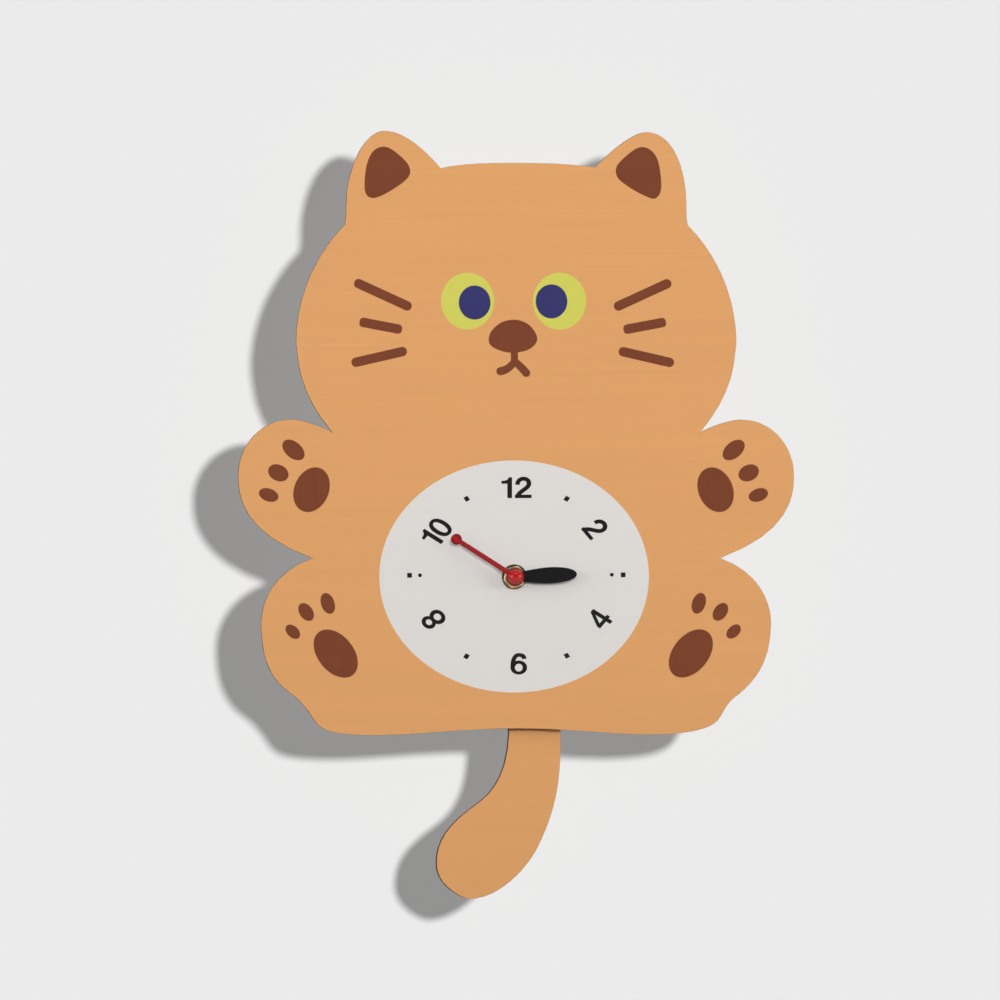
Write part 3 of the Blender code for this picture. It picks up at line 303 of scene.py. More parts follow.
def body_artwork():
    """What is printed on the cat, as (ink, loops), each over the ones before it. Inside an odd number of
    a shape's loops is ink."""
    art = [("brown", [smooth_closed(knots)]) for knots in EARS_AND_NOSE_MM.values()]
    thin, thick = MOUTH_WIDTHS_MM
    art.append(("brown", [pen_stroke(MOUTH_STEM_MM, [thin, thin])]))
    for line in (MOUTH_LEFT_MM, MOUTH_RIGHT_MM):
        widths = [thin + (thick - thin) * i / (len(line) - 1) for i in range(len(line))]
        art.append(("brown", [pen_stroke(line, widths, round_end=True)]))
    halves = []
    for (start, end), corner in zip(WHISKERS_MM, WHISKER_CORNERS_MM):
        halves.append((bar(start, end, WHISKER_WIDTH_MM, corner), WHISKER_MIDDLE_MM))
    for place, long, short, tilt in PADS_MM:
        halves.append((ellipse(place, long, short, tilt), PAW_MIDDLE_MM if place[1] > 0 else FOOT_MIDDLE_MM))
    for left, middle in halves:
        art += [("brown", [left]), ("brown", [mirrored(left, middle)])]
    for eye, pupil in EYES_MM:
        art.append(("yellow", [ellipse(eye, *EYE_HALF_MM)]))
        art.append(("indigo", [ellipse(pupil, *PUPIL_HALF_MM)]))
    dial = ellipse((0.0, 0.0), DIAL_HALF_HEIGHT_MM, DIAL_HALF_HEIGHT_MM, steps=160)
    art.append(("dial", [on_dial(dial)]))
    for text, middle, turn in DIGITS_MM:
        art += [("ink", loops) for loops in digit_shapes(text, middle, turn)]
    across = MARK_HALF_MM / DIAL_STRETCH
    square = rectangle(-across, across, -MARK_HALF_MM, MARK_HALF_MM)
    art += [("ink", [on_dial(at(turned(square, turn), place))]) for place, turn in MARKS_MM]
    dot = ellipse((0.0, 0.0), DOT_HALF_MM / DIAL_STRETCH, DOT_HALF_MM, steps=20)
    art += [("ink", [on_dial(at(dot, place))]) for place in DOTS_MM]
    return art


# ---- meshes ----

# Corners of a CAD mesh that are closer than this, in metres, are one point.
SAME_POINT = 2e-6
# Facets of a CAD outline that are longer than this are straight in the drawing.
LONGEST_FACET_MM = 6.0


def flat_loops(node, depth):
    """The closed outlines, longest first, of a CAD node's flat face at a depth. All in millimetres."""
    maker = bmesh.new()
    maker.from_mesh(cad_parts[node].data)
    bmesh.ops.remove_doubles(maker, verts=maker.verts, dist=SAME_POINT)
    flat = {f for f in maker.faces if all(abs(v.co.y - depth * MM) < 1e-5 for v in f.verts)}
    links = {}
    for edge in maker.edges:
        if sum(f in flat for f in edge.link_faces) == 1:
            for a, b in (edge.verts, reversed(edge.verts)):
                links.setdefault(a, []).append(b)
    loops = []
    while links:
        start = next(iter(links))
        loop, before, here = [], None, start
        while here is not start or not loop:
            loop.append((here.co.x / MM, here.co.z / MM))
            step = [v for v in links.pop(here) if v is not before][0]
            before, here = here, step
        loops.append(loop)
    maker.free()

    def length(loop):
        return sum(math.dist(a, b) for a, b in zip(loop, loop[1:] + loop[:1]))

    return sorted(loops, key=length, reverse=True)


def area(loop):
    """The area inside the loop, below 0 if it runs clockwise."""
    return sum(a[0] * b[1] - b[0] * a[1] for a, b in zip(loop, loop[1:] + loop[:1])) / 2


def faired(loop, corner=24.0, parts=3):
    """The outline with its short facets rounded into curves between its corners, anticlockwise."""
    if area(loop) < 0:
        loop = loop[::-1]
    count = len(loop)
    points = [Vector(p) for p in loop]
    sharp = []
    for i in range(count):
        a = points[i] - points[i - 1]
        b = points[(i + 1) % count] - points[i]
        sharp.append(a.angle(b) > math.radians(corner))
    out = []
    for i in range(count):
        p1, p2 = points[i], points[(i + 1) % count]
        p0 = 2 * p1 - p2 if sharp[i] else points[i - 1]
        p3 = 2 * p2 - p1 if sharp[(i + 1) % count] else points[(i + 2) % count]
        span = (p2 - p1).length
        straight = span > LONGEST_FACET_MM
        for j in range(parts):
            t = j / parts
            if straight or (sharp[i] and sharp[(i + 1) % count]):
                out.append(tuple(p1.lerp(p2, t)))
                continue
            m1 = (p2 - p0) * span / ((p1 - p0).length + span)
            m2 = (p3 - p1) * span / ((p3 - p2).length + span)
            h = (2 * t**3 - 3 * t * t + 1, t**3 - 2 * t * t + t, 3 * t * t - 2 * t**3, t**3 - t * t)
            out.append(tuple(h[0] * p1 + h[1] * m1 + h[2] * p2 + h[3] * m2))
    return out


def inset(loop, distance):
    """An anticlockwise outline moved inwards, or outwards if distance is negative. A sharp corner moves at
    most twice as far."""
    count = len(loop)
    out = []
    for i in range(count):
        p = Vector(loop[i])
        a = (p - Vector(loop[i - 1])).normalized()
        b = (Vector(loop[(i + 1) % count]) - p).normalized()
        normal = Vector((-a.y - b.y, a.x + b.x))
        if normal.length < 1e-9:
            normal = Vector((-a.y, a.x))
        normal.normalize()
        stretch = 1 / max(0.5, normal.dot(Vector((-a.y, a.x))))
        out.append(tuple(p + normal * distance * stretch))
    return out


def inside(points, loop):
    """For each point, whether it is inside the loop."""
    x, z = points[:, 0], points[:, 1]
    odd = np.zeros(len(points), bool)
    xa, za = loop[-1]
    for xb, zb in loop:
        if za != zb:
            crosses = (za > z) != (zb > z)
            odd ^= crosses & (x < (xb - xa) * (z - za) / (zb - za) + xa)
        xa, za = xb, zb
    return odd


def triangles(loops, art):
    """A flat face cut along its artwork, as points, triangles with the ink of each, "" where it is bare, and
    which point each corner of the loops became. loops are the face's outline and then its holes."""
    outer, holes = loops[0], loops[1:]
    loops = loops + [loop for _, shape in art for loop in shape]
    points, edges = [], []
    for loop in loops:
        first = len(points)
        points += loop
        edges += [(first + i, first + (i + 1) % len(loop)) for i in range(len(loop))]
    corners = [Vector(p) for p in points]
    verts, _, faces, origins, _, _ = delaunay_2d_cdt(corners, edges, [], 0, 1e-5, True)
    middles = np.array([sum((verts[i] for i in f), Vector((0, 0))) / len(f) for f in faces])
    kept = inside(middles, outer)
    for hole in holes:
        kept &= ~inside(middles, hole)
    inks = np.full(len(faces), "", dtype=object)
    for ink, shape in art:
        odd = np.zeros(len(faces), bool)
        for loop in shape:
            odd ^= inside(middles, loop)
        inks[odd] = ink
    own = {source: i for i, sources in enumerate(origins) for source in sources}
    kept_faces = [(tuple(f), ink) for f, ink, keep in zip(faces, inks, kept) if keep]
    return verts, kept_faces, own


def add_object(name, data):
    made = bpy.data.objects.new(name, data)
    bpy.context.scene.collection.objects.link(made)
    return made


def finish_mesh(name, maker, materials, body, replaces=(), slot=None, smooth=30.0):
    """Turns a bmesh into a piece that rides on a body and stands for CAD nodes."""
    bmesh.ops.recalc_face_normals(maker, faces=maker.faces)
    mesh = bpy.data.meshes.new(name)
    maker.to_mesh(mesh)
    maker.free()
    for material in materials:
        mesh.materials.append(material)
    mesh.shade_smooth()
    mesh.set_sharp_from_angle(angle=math.radians(smooth))
    piece = add_object(name, mesh)
    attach(piece, body)
    if replaces:
        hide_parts(*replaces)
    return piece


def bridge(maker, a, b, material):
    """Faces between two rings of points, either of which can be a single point."""
    count = max(len(a), len(b))
    for i in range(count):
        j = (i + 1) % count
        corners = [a[i % len(a)], a[j % len(a)], b[j % len(b)], b[i % len(b)]]
        maker.faces.new(dict.fromkeys(corners)).material_index = material


def plate(name, loops, front, back, rim, paints, art=(), pits=(), wall_steps=1, **finish):
    """A flat piece with worked edges. loops are its outline and then its holes.

    rim is the edge's section as (inset, depth behind the face) from the wall to the face, used on both
    faces. paints gives the material of the front, the edge and the back, and of each ink. pits are
    (loop, floor depth) of blind holes in the back.
    """
    maker = bmesh.new()
    outer, holes = loops[0], list(loops[1:])
    materials = list(dict.fromkeys(paints.values()))
    faces = {part: materials.index(material) for part, material in paints.items()}

    def ring(loop, depth):
        return [maker.verts.new((x * MM, depth * MM, z * MM)) for x, z in loop]

    def sheet(borders, depth, drawn, bare):
        """The face between (ring, loop) borders, of which the first is the outline."""
        verts, kept, own = triangles([loop for _, loop in borders], drawn)
        made, offset = {}, 0
        for vert_ring, _ in borders:
            for i, vert in enumerate(vert_ring):
                made[own[offset + i]] = vert
            offset += len(vert_ring)
        for corners, ink in kept:
            for i in corners:
                if i not in made:
                    made[i] = maker.verts.new((verts[i].x * MM, depth * MM, verts[i].y * MM))
            if len({made[i] for i in corners}) == 3:
                face = maker.faces.new([made[i] for i in corners])
                face.material_index = faces[ink] if ink else bare

    def edge(loop, sign):
        """Walls from the front face over the edge to the back face, and their first and last border."""
        steps = [(sign * d, front + y) for d, y in reversed(rim)]
        low, high = front + rim[0][1], back - rim[0][1]
        steps += [(sign * rim[0][0], low + (high - low) * i / wall_steps) for i in range(1, wall_steps + 1)]
        steps += [(sign * d, back - y) for d, y in rim[1:]]
        loops_here = [inset(loop, d) if d else loop for d, _ in steps]
        rings = [ring(here, y) for here, (_, y) in zip(loops_here, steps)]
        for a, b in zip(rings, rings[1:]):
            bridge(maker, a, b, faces["edge"])
        return (rings[0], loops_here[0]), (rings[-1], loops_here[-1])

    ends = [edge(outer, 1)] + [edge(hole, -1) for hole in holes]
    fronts, backs = [list(borders) for borders in zip(*ends)]
    for loop, floor in pits:
        mouth, bottom = ring(loop, back), ring(loop, floor)
        bridge(maker, mouth, bottom, faces["back"])
        maker.faces.new(bottom).material_index = faces["back"]
        backs.append((mouth, loop))
    sheet(fronts, front, art, faces["front"])
    sheet(backs, back, (), faces["back"])
    return finish_mesh(name, maker, materials, **finish)


def spun(name, profiles, steps=96, axis="Y", centre=(0.0, 0.0, 0.0), **finish):
    """A turned piece. profiles is a list of (material, [(radius, position along the axis), ...]), where the
    points can also be a function of the angle that gives as many points at every angle."""
    maker = bmesh.new()
    cx, cy, cz = centre
    angles = [2 * math.pi * i / steps for i in range(steps)]
    materials = list(dict.fromkeys(material for material, _ in profiles))

    def place(radius, along, angle):
        a, b = radius * math.cos(angle), radius * math.sin(angle)
        if axis == "Y":
            return ((cx + a) * MM, (cy + along) * MM, (cz + b) * MM)
        return ((cx + along) * MM, (cy + a) * MM, (cz + b) * MM)

    for material, profile in profiles:
        sections = [profile(angle) if callable(profile) else profile for angle in angles]
        rings = []
        for level in zip(*sections):
            count = 1 if level[0][0] == 0 else steps
            rings.append([maker.verts.new(place(*level[i], angles[i])) for i in range(count)])
        for a, b in zip(rings, rings[1:]):
            bridge(maker, a, b, materials.index(material))
    bmesh.ops.remove_doubles(maker, verts=maker.verts, dist=1e-7)
    return finish_mesh(name, maker, materials, **finish)


# ---- materials ----


def plug(tree, node, inputs):
    """Sets inputs of a shader node, each to a value or by a link from a socket."""
    for key, value in inputs.items():
        if isinstance(value, bpy.types.NodeSocket):
            tree.links.new(value, node.inputs[key])
        else:
            node.inputs[key].default_value = value


def add_node(tree, kind, inputs, **settings):
    made = tree.nodes.new("ShaderNode" + kind)
    for key, value in settings.items():
        setattr(made, key, value)
    plug(tree, made, inputs)
    return made


class Paint:
    """A procedural material under construction. Places are the piece's own coordinates, in metres."""

    def __init__(self, name, **sockets):
        self.material = bpy.data.materials.new(name)
        self.material.use_nodes = True
        self.tree = self.material.node_tree
        self.shader = self.tree.nodes["Principled BSDF"]
        plug(self.tree, self.shader, {key.replace("_", " "): value for key, value in sockets.items()})
        self.place = self.tree.nodes.new("ShaderNodeTexCoord").outputs["Object"]

    def node(self, kind, inputs, **settings):
        return add_node(self.tree, kind, inputs, **settings)

    def noise(self, scale, detail=3.0, roughness=0.55, distortion=0.0):
        """A value around 0.5, with about scale[k] waves a metre along each axis, or scale along them all."""
        if isinstance(scale, float):
            scale = (scale, scale, scale)
        mapping = self.node("Mapping", {"Vector": self.place, "Scale": scale})
        inputs = {"Vector": mapping.outputs["Vector"], "Scale": 1.0}
        inputs |= {"Detail": detail, "Roughness": roughness, "Distortion": distortion}
        return self.node("TexNoise", inputs).outputs["Fac"]

    def wave(self, scale, axis, distortion=0.0):
        """Soft stripes across an axis, as a value from 0 to 1."""
        inputs = {"Vector": self.place, "Scale": scale, "Distortion": distortion}
        return self.node("TexWave", inputs, bands_direction=axis).outputs["Fac"]

    def math(self, operation, a, b=0.0):
        return self.node("Math", {0: a, 1: b}, operation=operation).outputs[0]

    def span(self, value, low, high, to_low, to_high):
        inputs = {"Value": value, "From Min": low, "From Max": high, "To Min": to_low, "To Max": to_high}
        return self.node("MapRange", inputs).outputs[0]

    def ramp(self, value, stops):
        made = self.node("ValToRGB", {"Fac": value})
        elements = made.color_ramp.elements
        while len(elements) < len(stops):
            elements.new(0.5)
        for element, (position, colour) in zip(elements, stops):
            element.position = position
            element.color = (*colour, 1.0)
        return made.outputs["Color"]

    def mix(self, factor, a, b, blend="MIX"):
        a, b = (value if isinstance(value, bpy.types.NodeSocket) else (*value, 1.0) for value in (a, b))
        inputs = {0: factor, 6: a, 7: b}
        return self.node("Mix", inputs, data_type="RGBA", blend_type=blend).outputs[2]

    def tone(self, colour, value, low, high):
        """The colour times a factor that runs from low to high with the value."""
        factor = self.span(value, 0.25, 0.75, low, high)
        grey = self.node("CombineColor", {0: factor, 1: factor, 2: factor}).outputs[0]
        return self.mix(1.0, colour, grey, "MULTIPLY")

    def position(self, axis):
        return self.node("SeparateXYZ", {"Vector": self.place}).outputs[axis]

    def distance(self, x, z):
        """How far a place is from the line along Y through (x, z)."""
        dx = self.math("SUBTRACT", self.position("X"), x)
        dz = self.math("SUBTRACT", self.position("Z"), z)
        square = self.math("ADD", self.math("MULTIPLY", dx, dx), self.math("MULTIPLY", dz, dz))
        return self.math("SQRT", square)

    def bump(self, height, distance, strength=1.0, under=None):
        inputs = {"Height": height, "Distance": distance, "Strength": strength}
        if under is not None:
            inputs["Normal"] = under
        return self.node("Bump", inputs).outputs["Normal"]

    def done(self, colour, roughness, normal):
        plug(self.tree, self.shader, {"Base Color": colour, "Roughness": roughness, "Normal": normal})
        return self.material


def printed(name, colour, streaks=0.02, upright=False):
    """UV ink on plywood: the wood's grain shows faintly through it, with the print head's fine lines."""
    p = Paint(name, Specular_IOR_Level=0.12)
    broad = p.noise((5.0, 5.0, 130.0), 4.0, 0.5, 0.3)
    fibres = p.noise((110.0, 110.0, 2600.0), 3.0, 0.6)
    along = (900.0, 5.0, 14.0) if upright else (14.0, 5.0, 900.0)
    head_lines = p.noise(along, 2.0, 0.5)
    specks = p.noise(2200.0, 2.0, 0.5)
    shade = p.tone(colour, broad, 1.0 - streaks, 1.0 + streaks)
    shade = p.tone(shade, head_lines, 1.0 - streaks * 0.9, 1.0 + streaks * 0.9)
    shade = p.tone(shade, specks, 0.985, 1.015)
    rough = p.span(p.noise((60.0, 60.0, 400.0), 3.0), 0.3, 0.7, 0.44, 0.56)
    normal = p.bump(fibres, 0.00004, 0.35)
    normal = p.bump(specks, 0.00002, 0.25, normal)
    return p.done(shade, rough, normal)


def laser_edge(name):
    """The edge that the laser left: scorched plies with fine strokes across them."""
    p = Paint(name, Specular_IOR_Level=0.3)
    strokes = p.noise((2600.0, 60.0, 2600.0), 3.0, 0.6)
    plies = p.wave(330.0, "Y", 0.6)
    patches = p.noise((55.0, 200.0, 55.0), 3.0)
    shade = p.ramp(strokes, [(0.3, (0.020, 0.009, 0.005)), (0.7, (0.075, 0.033, 0.016))])
    shade = p.tone(shade, plies, 0.65, 1.25)
    shade = p.tone(shade, patches, 0.7, 1.3)
    normal = p.bump(strokes, 0.00008, 0.6)
    normal = p.bump(plies, 0.0001, 0.4, normal)
    return p.done(shade, p.span(strokes, 0.3, 0.7, 0.7, 0.9), normal)


def raw_plywood(name):
    """Bare basswood veneer with its grain along X and its pores as short dark dashes."""
    p = Paint(name, Specular_IOR_Level=0.25)
    figure = p.noise((7.0, 7.0, 95.0), 5.0, 0.55, 0.9)
    rings = p.math("FRACT", p.math("MULTIPLY", figure, 9.0))
    fibres = p.noise((60.0, 60.0, 2400.0), 4.0, 0.65)
    pores = p.noise((320.0, 320.0, 3800.0), 2.0, 0.6)
    dashes = p.span(pores, 0.62, 0.74, 0.0, 1.0)
    wood = [(0.0, (0.60, 0.40, 0.235)), (0.7, (0.66, 0.46, 0.28)), (1.0, (0.52, 0.33, 0.19))]
    shade = p.ramp(rings, wood)
    shade = p.tone(shade, fibres, 0.90, 1.08)
    shade = p.mix(p.math("MULTIPLY", dashes, 0.35), shade, (0.30, 0.17, 0.09))
    normal = p.bump(fibres, 0.00006, 0.6)
    normal = p.bump(dashes, 0.00005, -0.5, normal)
    return p.done(shade, p.span(fibres, 0.3, 0.7, 0.60, 0.80), normal)


def enamel(name, colour, roughness, shine, crown=None):
    """Sprayed enamel with its fine orange peel and a few dust nibs. crown is how far a place is from the
    middle of the piece to its edge, from 0 to 1. Towards the edge the colour is painted darker: painted
    shade for the falling sides of a rounded piece."""
    p = Paint(name, Specular_IOR_Level=shine)
    peel = p.noise(1500.0, 2.0, 0.5)
    cloud = p.noise(220.0, 3.0)
    nibs = p.span(p.noise(3200.0, 1.0), 0.72, 0.80, 0.0, 1.0)
    shade = p.tone(colour, cloud, 0.90, 1.10)
    if crown:
        # Painted shade: the colour darkens towards the edges of the hand and of its round ends.
        shade = p.mix(p.span(crown(p), 0.30, 0.85, 0.0, 0.60), shade, (0.06, 0.004, 0.006))
    normal = p.bump(peel, 0.00003, 0.35)
    normal = p.bump(nibs, 0.00004, 0.5, normal)
    return p.done(shade, p.span(cloud, 0.3, 0.7, roughness - 0.05, roughness + 0.07), normal)


def moulded(name, colour, roughness, grain=3000.0, depth=0.00003, variation=0.06):
    """Moulded plastic with a fine eroded texture and faint flow marks."""
    p = Paint(name, Specular_IOR_Level=0.45)
    texture = p.noise((grain, grain, grain), 3.0, 0.6)
    flow = p.noise((45.0, 45.0, 110.0), 3.0, 0.5, 0.8)
    shade = p.tone(colour, flow, 1.0 - variation, 1.0 + variation)
    shade = p.tone(shade, texture, 0.96, 1.04)
    rough = p.span(texture, 0.3, 0.7, roughness - 0.06, roughness + 0.08)
    return p.done(shade, rough, p.bump(texture, depth, 0.6))


def hand_crown(p):
    """How far a place on the minute hand is from its middle line, or from the middle of its round ends. It
    sets where the painted shade at the hand's edges falls.
    """
    turn = math.radians(MINUTE_HAND_ANGLE)
    along = Vector((math.sin(turn), math.cos(turn)))
    across = p.math("MULTIPLY", p.position("X"), along.y)
    across = p.math("ADD", across, p.math("MULTIPLY", p.position("Z"), -along.x))
    rod = p.math("DIVIDE", p.math("ABSOLUTE", across), MINUTE_ROD_RADIUS_MM * MM)
    tip = along * MINUTE_HAND_LENGTH_MM * MM
    hub_end = p.math("DIVIDE", p.distance(0.0, 0.0), MINUTE_HUB_RADIUS_MM * MM)
    tip_end = p.math("DIVIDE", p.distance(tip.x, tip.y), MINUTE_TIP_RADIUS_MM * MM)
    return p.math("MINIMUM", rod, p.math("MINIMUM", hub_end, tip_end))


def glossy_dome(name, colour):
    """Polished moulded plastic with very faint swirls."""
    p = Paint(name, Specular_IOR_Level=0.5)
    swirl = p.noise(420.0, 2.0, 0.5, 1.2)
    dust = p.noise(5200.0, 1.0)
    shade = p.tone(colour, swirl, 0.95, 1.05)
    rough = p.span(dust, 0.55, 0.75, 0.09, 0.16)
    return p.done(shade, rough, p.bump(swirl, 0.00002, 0.2))


def metal(name, colour, roughness, brushed=None, tarnish=0.12, rim=None):
    """Bare metal with darker tarnish in patches, and with brush lines along an axis, or else turned rings
    about the hands' axis. rim is the radii between which a turned face is painted dark: a painted shade
    ring at its outer edge."""
    p = Paint(name, Metallic=1.0)
    patches = p.noise(260.0, 4.0, 0.6, 0.4)
    if brushed:
        grooves = p.noise(tuple(60.0 if axis == brushed else 4200.0 for axis in "XYZ"), 2.0, 0.6)
    else:
        radius = p.distance(0.0, 0.0)
        inputs = {"W": p.math("MULTIPLY", radius, 9000.0), "Scale": 1.0, "Detail": 2.0}
        grooves = p.node("TexNoise", inputs, noise_dimensions="1D").outputs["Fac"]
    shade = p.tone(colour, patches, 1.0 - tarnish, 1.0 + tarnish * 0.4)
    shade = p.tone(shade, grooves, 0.94, 1.05)
    if rim:
        # Painted shade: a dark ring between the rim's radii.
        shade = p.mix(p.span(radius, rim[0] * MM, rim[1] * MM, 0.0, 0.85), shade, (0.045, 0.026, 0.012))
    rough = p.span(grooves, 0.3, 0.7, roughness - 0.07, roughness + 0.10)
    return p.done(shade, rough, p.bump(grooves, 0.00002, 0.45))


def rubber(name, colour):
    p = Paint(name, Specular_IOR_Level=0.3)
    bloom = p.noise(160.0, 4.0, 0.6)
    skin = p.noise(2600.0, 2.0)
    shade = p.mix(p.span(bloom, 0.45, 0.75, 0.0, 0.35), colour, (0.055, 0.053, 0.050))
    return p.done(shade, p.span(skin, 0.3, 0.7, 0.75, 0.92), p.bump(skin, 0.00004, 0.5))


def windings(name, pitch, axis):
    """Enamelled copper wire, laid in turns across the axis of its bobbin, painted darker into the grooves
    between the turns as painted shade.
    """
    p = Paint(name, Metallic=0.85, Coat_Weight=0.4, Coat_Roughness=0.15)
    turns = p.wave(0.5 / (pitch * 2.0), axis, 0.4)
    layers = p.noise(300.0, 2.0)
    # The dark stop is painted shade in the grooves between the turns.
    copper = [(0.0, (0.16, 0.045, 0.014)), (0.6, (0.62, 0.22, 0.075)), (1.0, (0.80, 0.34, 0.13))]
    shade = p.ramp(turns, copper)
    shade = p.tone(shade, layers, 0.85, 1.1)
    return p.done(shade, p.span(turns, 0.0, 1.0, 0.45, 0.28), p.bump(turns, 0.00005, 0.8))


def circuit(name):
    """Green solder mask over the faint relief of its copper tracks, with the weave of the glass below."""
    p = Paint(name, Specular_IOR_Level=0.5, Coat_Weight=0.3, Coat_Roughness=0.2)
    upright = p.node("Mapping", {"Vector": p.place, "Rotation": (math.radians(90.0), 0.0, 0.0)})
    inputs = {"Vector": upright.outputs["Vector"], "Scale": 210.0, "Mortar Size": 0.06}
    inputs |= {"Color1": (0, 0, 0, 1), "Color2": (0, 0, 0, 1), "Mortar": (1, 1, 1, 1)}
    cells = p.node("TexBrick", inputs).outputs["Fac"]
    weave = p.math("MULTIPLY", p.wave(900.0, "X"), p.wave(900.0, "Z"))
    shade = p.mix(cells, (0.020, 0.120, 0.045), (0.045, 0.235, 0.085))
    shade = p.tone(shade, weave, 0.93, 1.05)
    normal = p.bump(cells, 0.00003, 0.7)
    return p.done(shade, p.span(weave, 0.2, 0.8, 0.32, 0.42), p.bump(weave, 0.00001, 0.4, normal))


def foil_jacket(name, colour, band):
    """The battery's shrink jacket: two plain bands of lacquered foil, a pale line round it near where they
    meet, and a seam along it."""
    p = Paint(name, Metallic=0.55, Coat_Weight=0.6, Coat_Roughness=0.08)
    low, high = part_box("battery")
    place = p.span(p.position("X"), low.x, high.x, 0.0, 1.0)
    split = p.span(place, 0.700, 0.704, 0.0, 1.0)
    line = p.math("MULTIPLY", p.span(place, 0.665, 0.668, 0.0, 1.0), p.span(place, 0.688, 0.691, 1.0, 0.0))
    from_middle = p.math("SUBTRACT", p.position("Z"), (low.z + high.z) / 2)
    seam = p.span(p.math("ABSOLUTE", from_middle), 0.0, 0.0004, 1.0, 0.0)
    scuffs = p.noise((900.0, 120.0, 120.0), 3.0, 0.65)
    shade = p.mix(split, colour, band)
    shade = p.mix(line, shade, (0.62, 0.62, 0.60))
    shade = p.tone(shade, scuffs, 0.9, 1.08)
    rough = p.span(scuffs, 0.35, 0.7, 0.22, 0.36)
    return p.done(shade, rough, p.bump(seam, 0.00006, 0.6))


TAN = printed("print_tan", (0.715, 0.352, 0.136))
BROWN = printed("print_brown", (0.188, 0.052, 0.023), 0.05, upright=True)
YELLOW = printed("print_yellow", (0.62, 0.60, 0.108), 0.01)
INDIGO = printed("print_indigo", (0.037, 0.036, 0.142), 0.03)
DIAL = printed("print_dial", (0.722, 0.692, 0.667), 0.004)
INK = printed("print_ink", (0.011, 0.010, 0.010), 0.02)
EDGE = laser_edge("laser_edge")
PLYWOOD = raw_plywood("raw_plywood")
BOARD_PAINTS = {
    "front": TAN, "edge": EDGE, "back": PLYWOOD,
    "brown": BROWN, "yellow": YELLOW, "indigo": INDIGO, "dial": DIAL, "ink": INK,
}

BLACK_ENAMEL = enamel("black_enamel", (0.008, 0.007, 0.008), 0.45, 0.15)
# The minute hand's red, painted darker at its edges as painted shade.
RED_ENAMEL = enamel("red_enamel", (0.35, 0.009, 0.013), 0.35, 0.25, hand_crown)
RED_DOME = glossy_dome("red_dome", (0.455, 0.005, 0.004))
TURNED_BRASS = metal("turned_brass", (0.74, 0.54, 0.32), 0.25)
# A painted shade ring darkens the washer near its outer edge.
WASHER_BRASS = metal("washer_brass", (0.66, 0.45, 0.22), 0.24, rim=(5.0, 5.8))
STEEL_X = metal("steel_brushed_x", (0.60, 0.60, 0.61), 0.32, brushed="X")
STEEL_Z = metal("steel_brushed_z", (0.60, 0.60, 0.61), 0.30, brushed="Z")
SCREW_ZINC = metal("screw_zinc", (0.21, 0.19, 0.16), 0.34, brushed="X")
NICKEL = metal("nickel_plate", (0.42, 0.41, 0.39), 0.30, brushed="Y", tarnish=0.2)
RUBBER = rubber("black_rubber_skin", (0.018, 0.018, 0.018))
BLACK_MOULDED = moulded("black_moulding", (0.020, 0.020, 0.021), 0.52)
BLACK_RESIN = moulded("black_resin", (0.012, 0.012, 0.012), 0.30, 900.0, 0.00006)
ACETAL = moulded("acetal", (0.78, 0.77, 0.73), 0.40, 2400.0, 0.00002, 0.03)
NYLON = moulded("nylon", (0.66, 0.64, 0.58), 0.45, 2000.0, 0.00002, 0.04)
COPPER_UP = windings("copper_wire_up", 0.00020, "Z")
COPPER_DEEP = windings("copper_wire_deep", 0.00018, "Y")
CIRCUIT = circuit("solder_mask")
JACKET = foil_jacket("battery_foil", (0.020, 0.060, 0.190), (0.46, 0.30, 0.12))


# ---- the pieces that replace CAD nodes ----

# Edges of flat pieces, as (inset, depth behind the face) from the wall to the face.
BOARD_RIM = ((0.0, 0.06), (0.02, 0.02), (0.06, 0.0))
STAMPED_RIM = ((0.0, 0.22), (0.03, 0.10), (0.10, 0.03), (0.24, 0.0))
CROWNED_RIM = ((0.0, 0.34), (0.06, 0.20), (0.20, 0.10), (0.42, 0.04), (0.70, 0.01), (0.95, 0.0))
# The smoke of the cut browned the left edge of the tail's front this far in.
TAIL_SCORCH_MM = 0.42
PILOT_HOLE_FLOOR_MM = 0.5


def depths(node):
    low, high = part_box(node)
    return low.y / MM, high.y / MM


def outlines(node, depth):
    return [faired(loop) for loop in flat_loops(node, depth)]


def plain(material):
    return dict.fromkeys(("front", "edge", "back"), material)


def make_boards():
    front, back = depths("body_panel")
    loops = outlines("body_panel", front)
    plate("cat_board", loops, front, back, BOARD_RIM, BOARD_PAINTS, art=body_artwork(), wall_steps=3,
          body="frame", replaces=("body_panel",), slot="printed_board", smooth=22.0)
    front, back = depths("tail_panel")
    outline = outlines("tail_panel", front)[0]
    scorch = [outline, at(outline, (TAIL_SCORCH_MM, 0.0))]
    floor = front + PILOT_HOLE_FLOOR_MM
    pits = [(faired(hole, 40.0, 2), floor) for hole in flat_loops("tail_panel", back)[1:]]
    plate("cat_tail", [outline], front, back, BOARD_RIM, BOARD_PAINTS, art=[("edge", scorch)], pits=pits,
          wall_steps=3, body="pendulum", replaces=("tail_panel",), slot="printed_board", smooth=22.0)


def make_hands():
    front, back = depths("hour_hand")
    plate("hour_leaf", outlines("hour_hand", front), front, back, STAMPED_RIM, plain(BLACK_ENAMEL),
          body="hour_pipe", replaces=("hour_hand",), slot="black_paint", smooth=50.0)
    front, back = depths("minute_hand")
    plate("minute_rod", outlines("minute_hand", front), front, back, CROWNED_RIM, plain(RED_ENAMEL),
          body="minute_shaft", replaces=("minute_hand",), slot="red_paint", smooth=60.0)


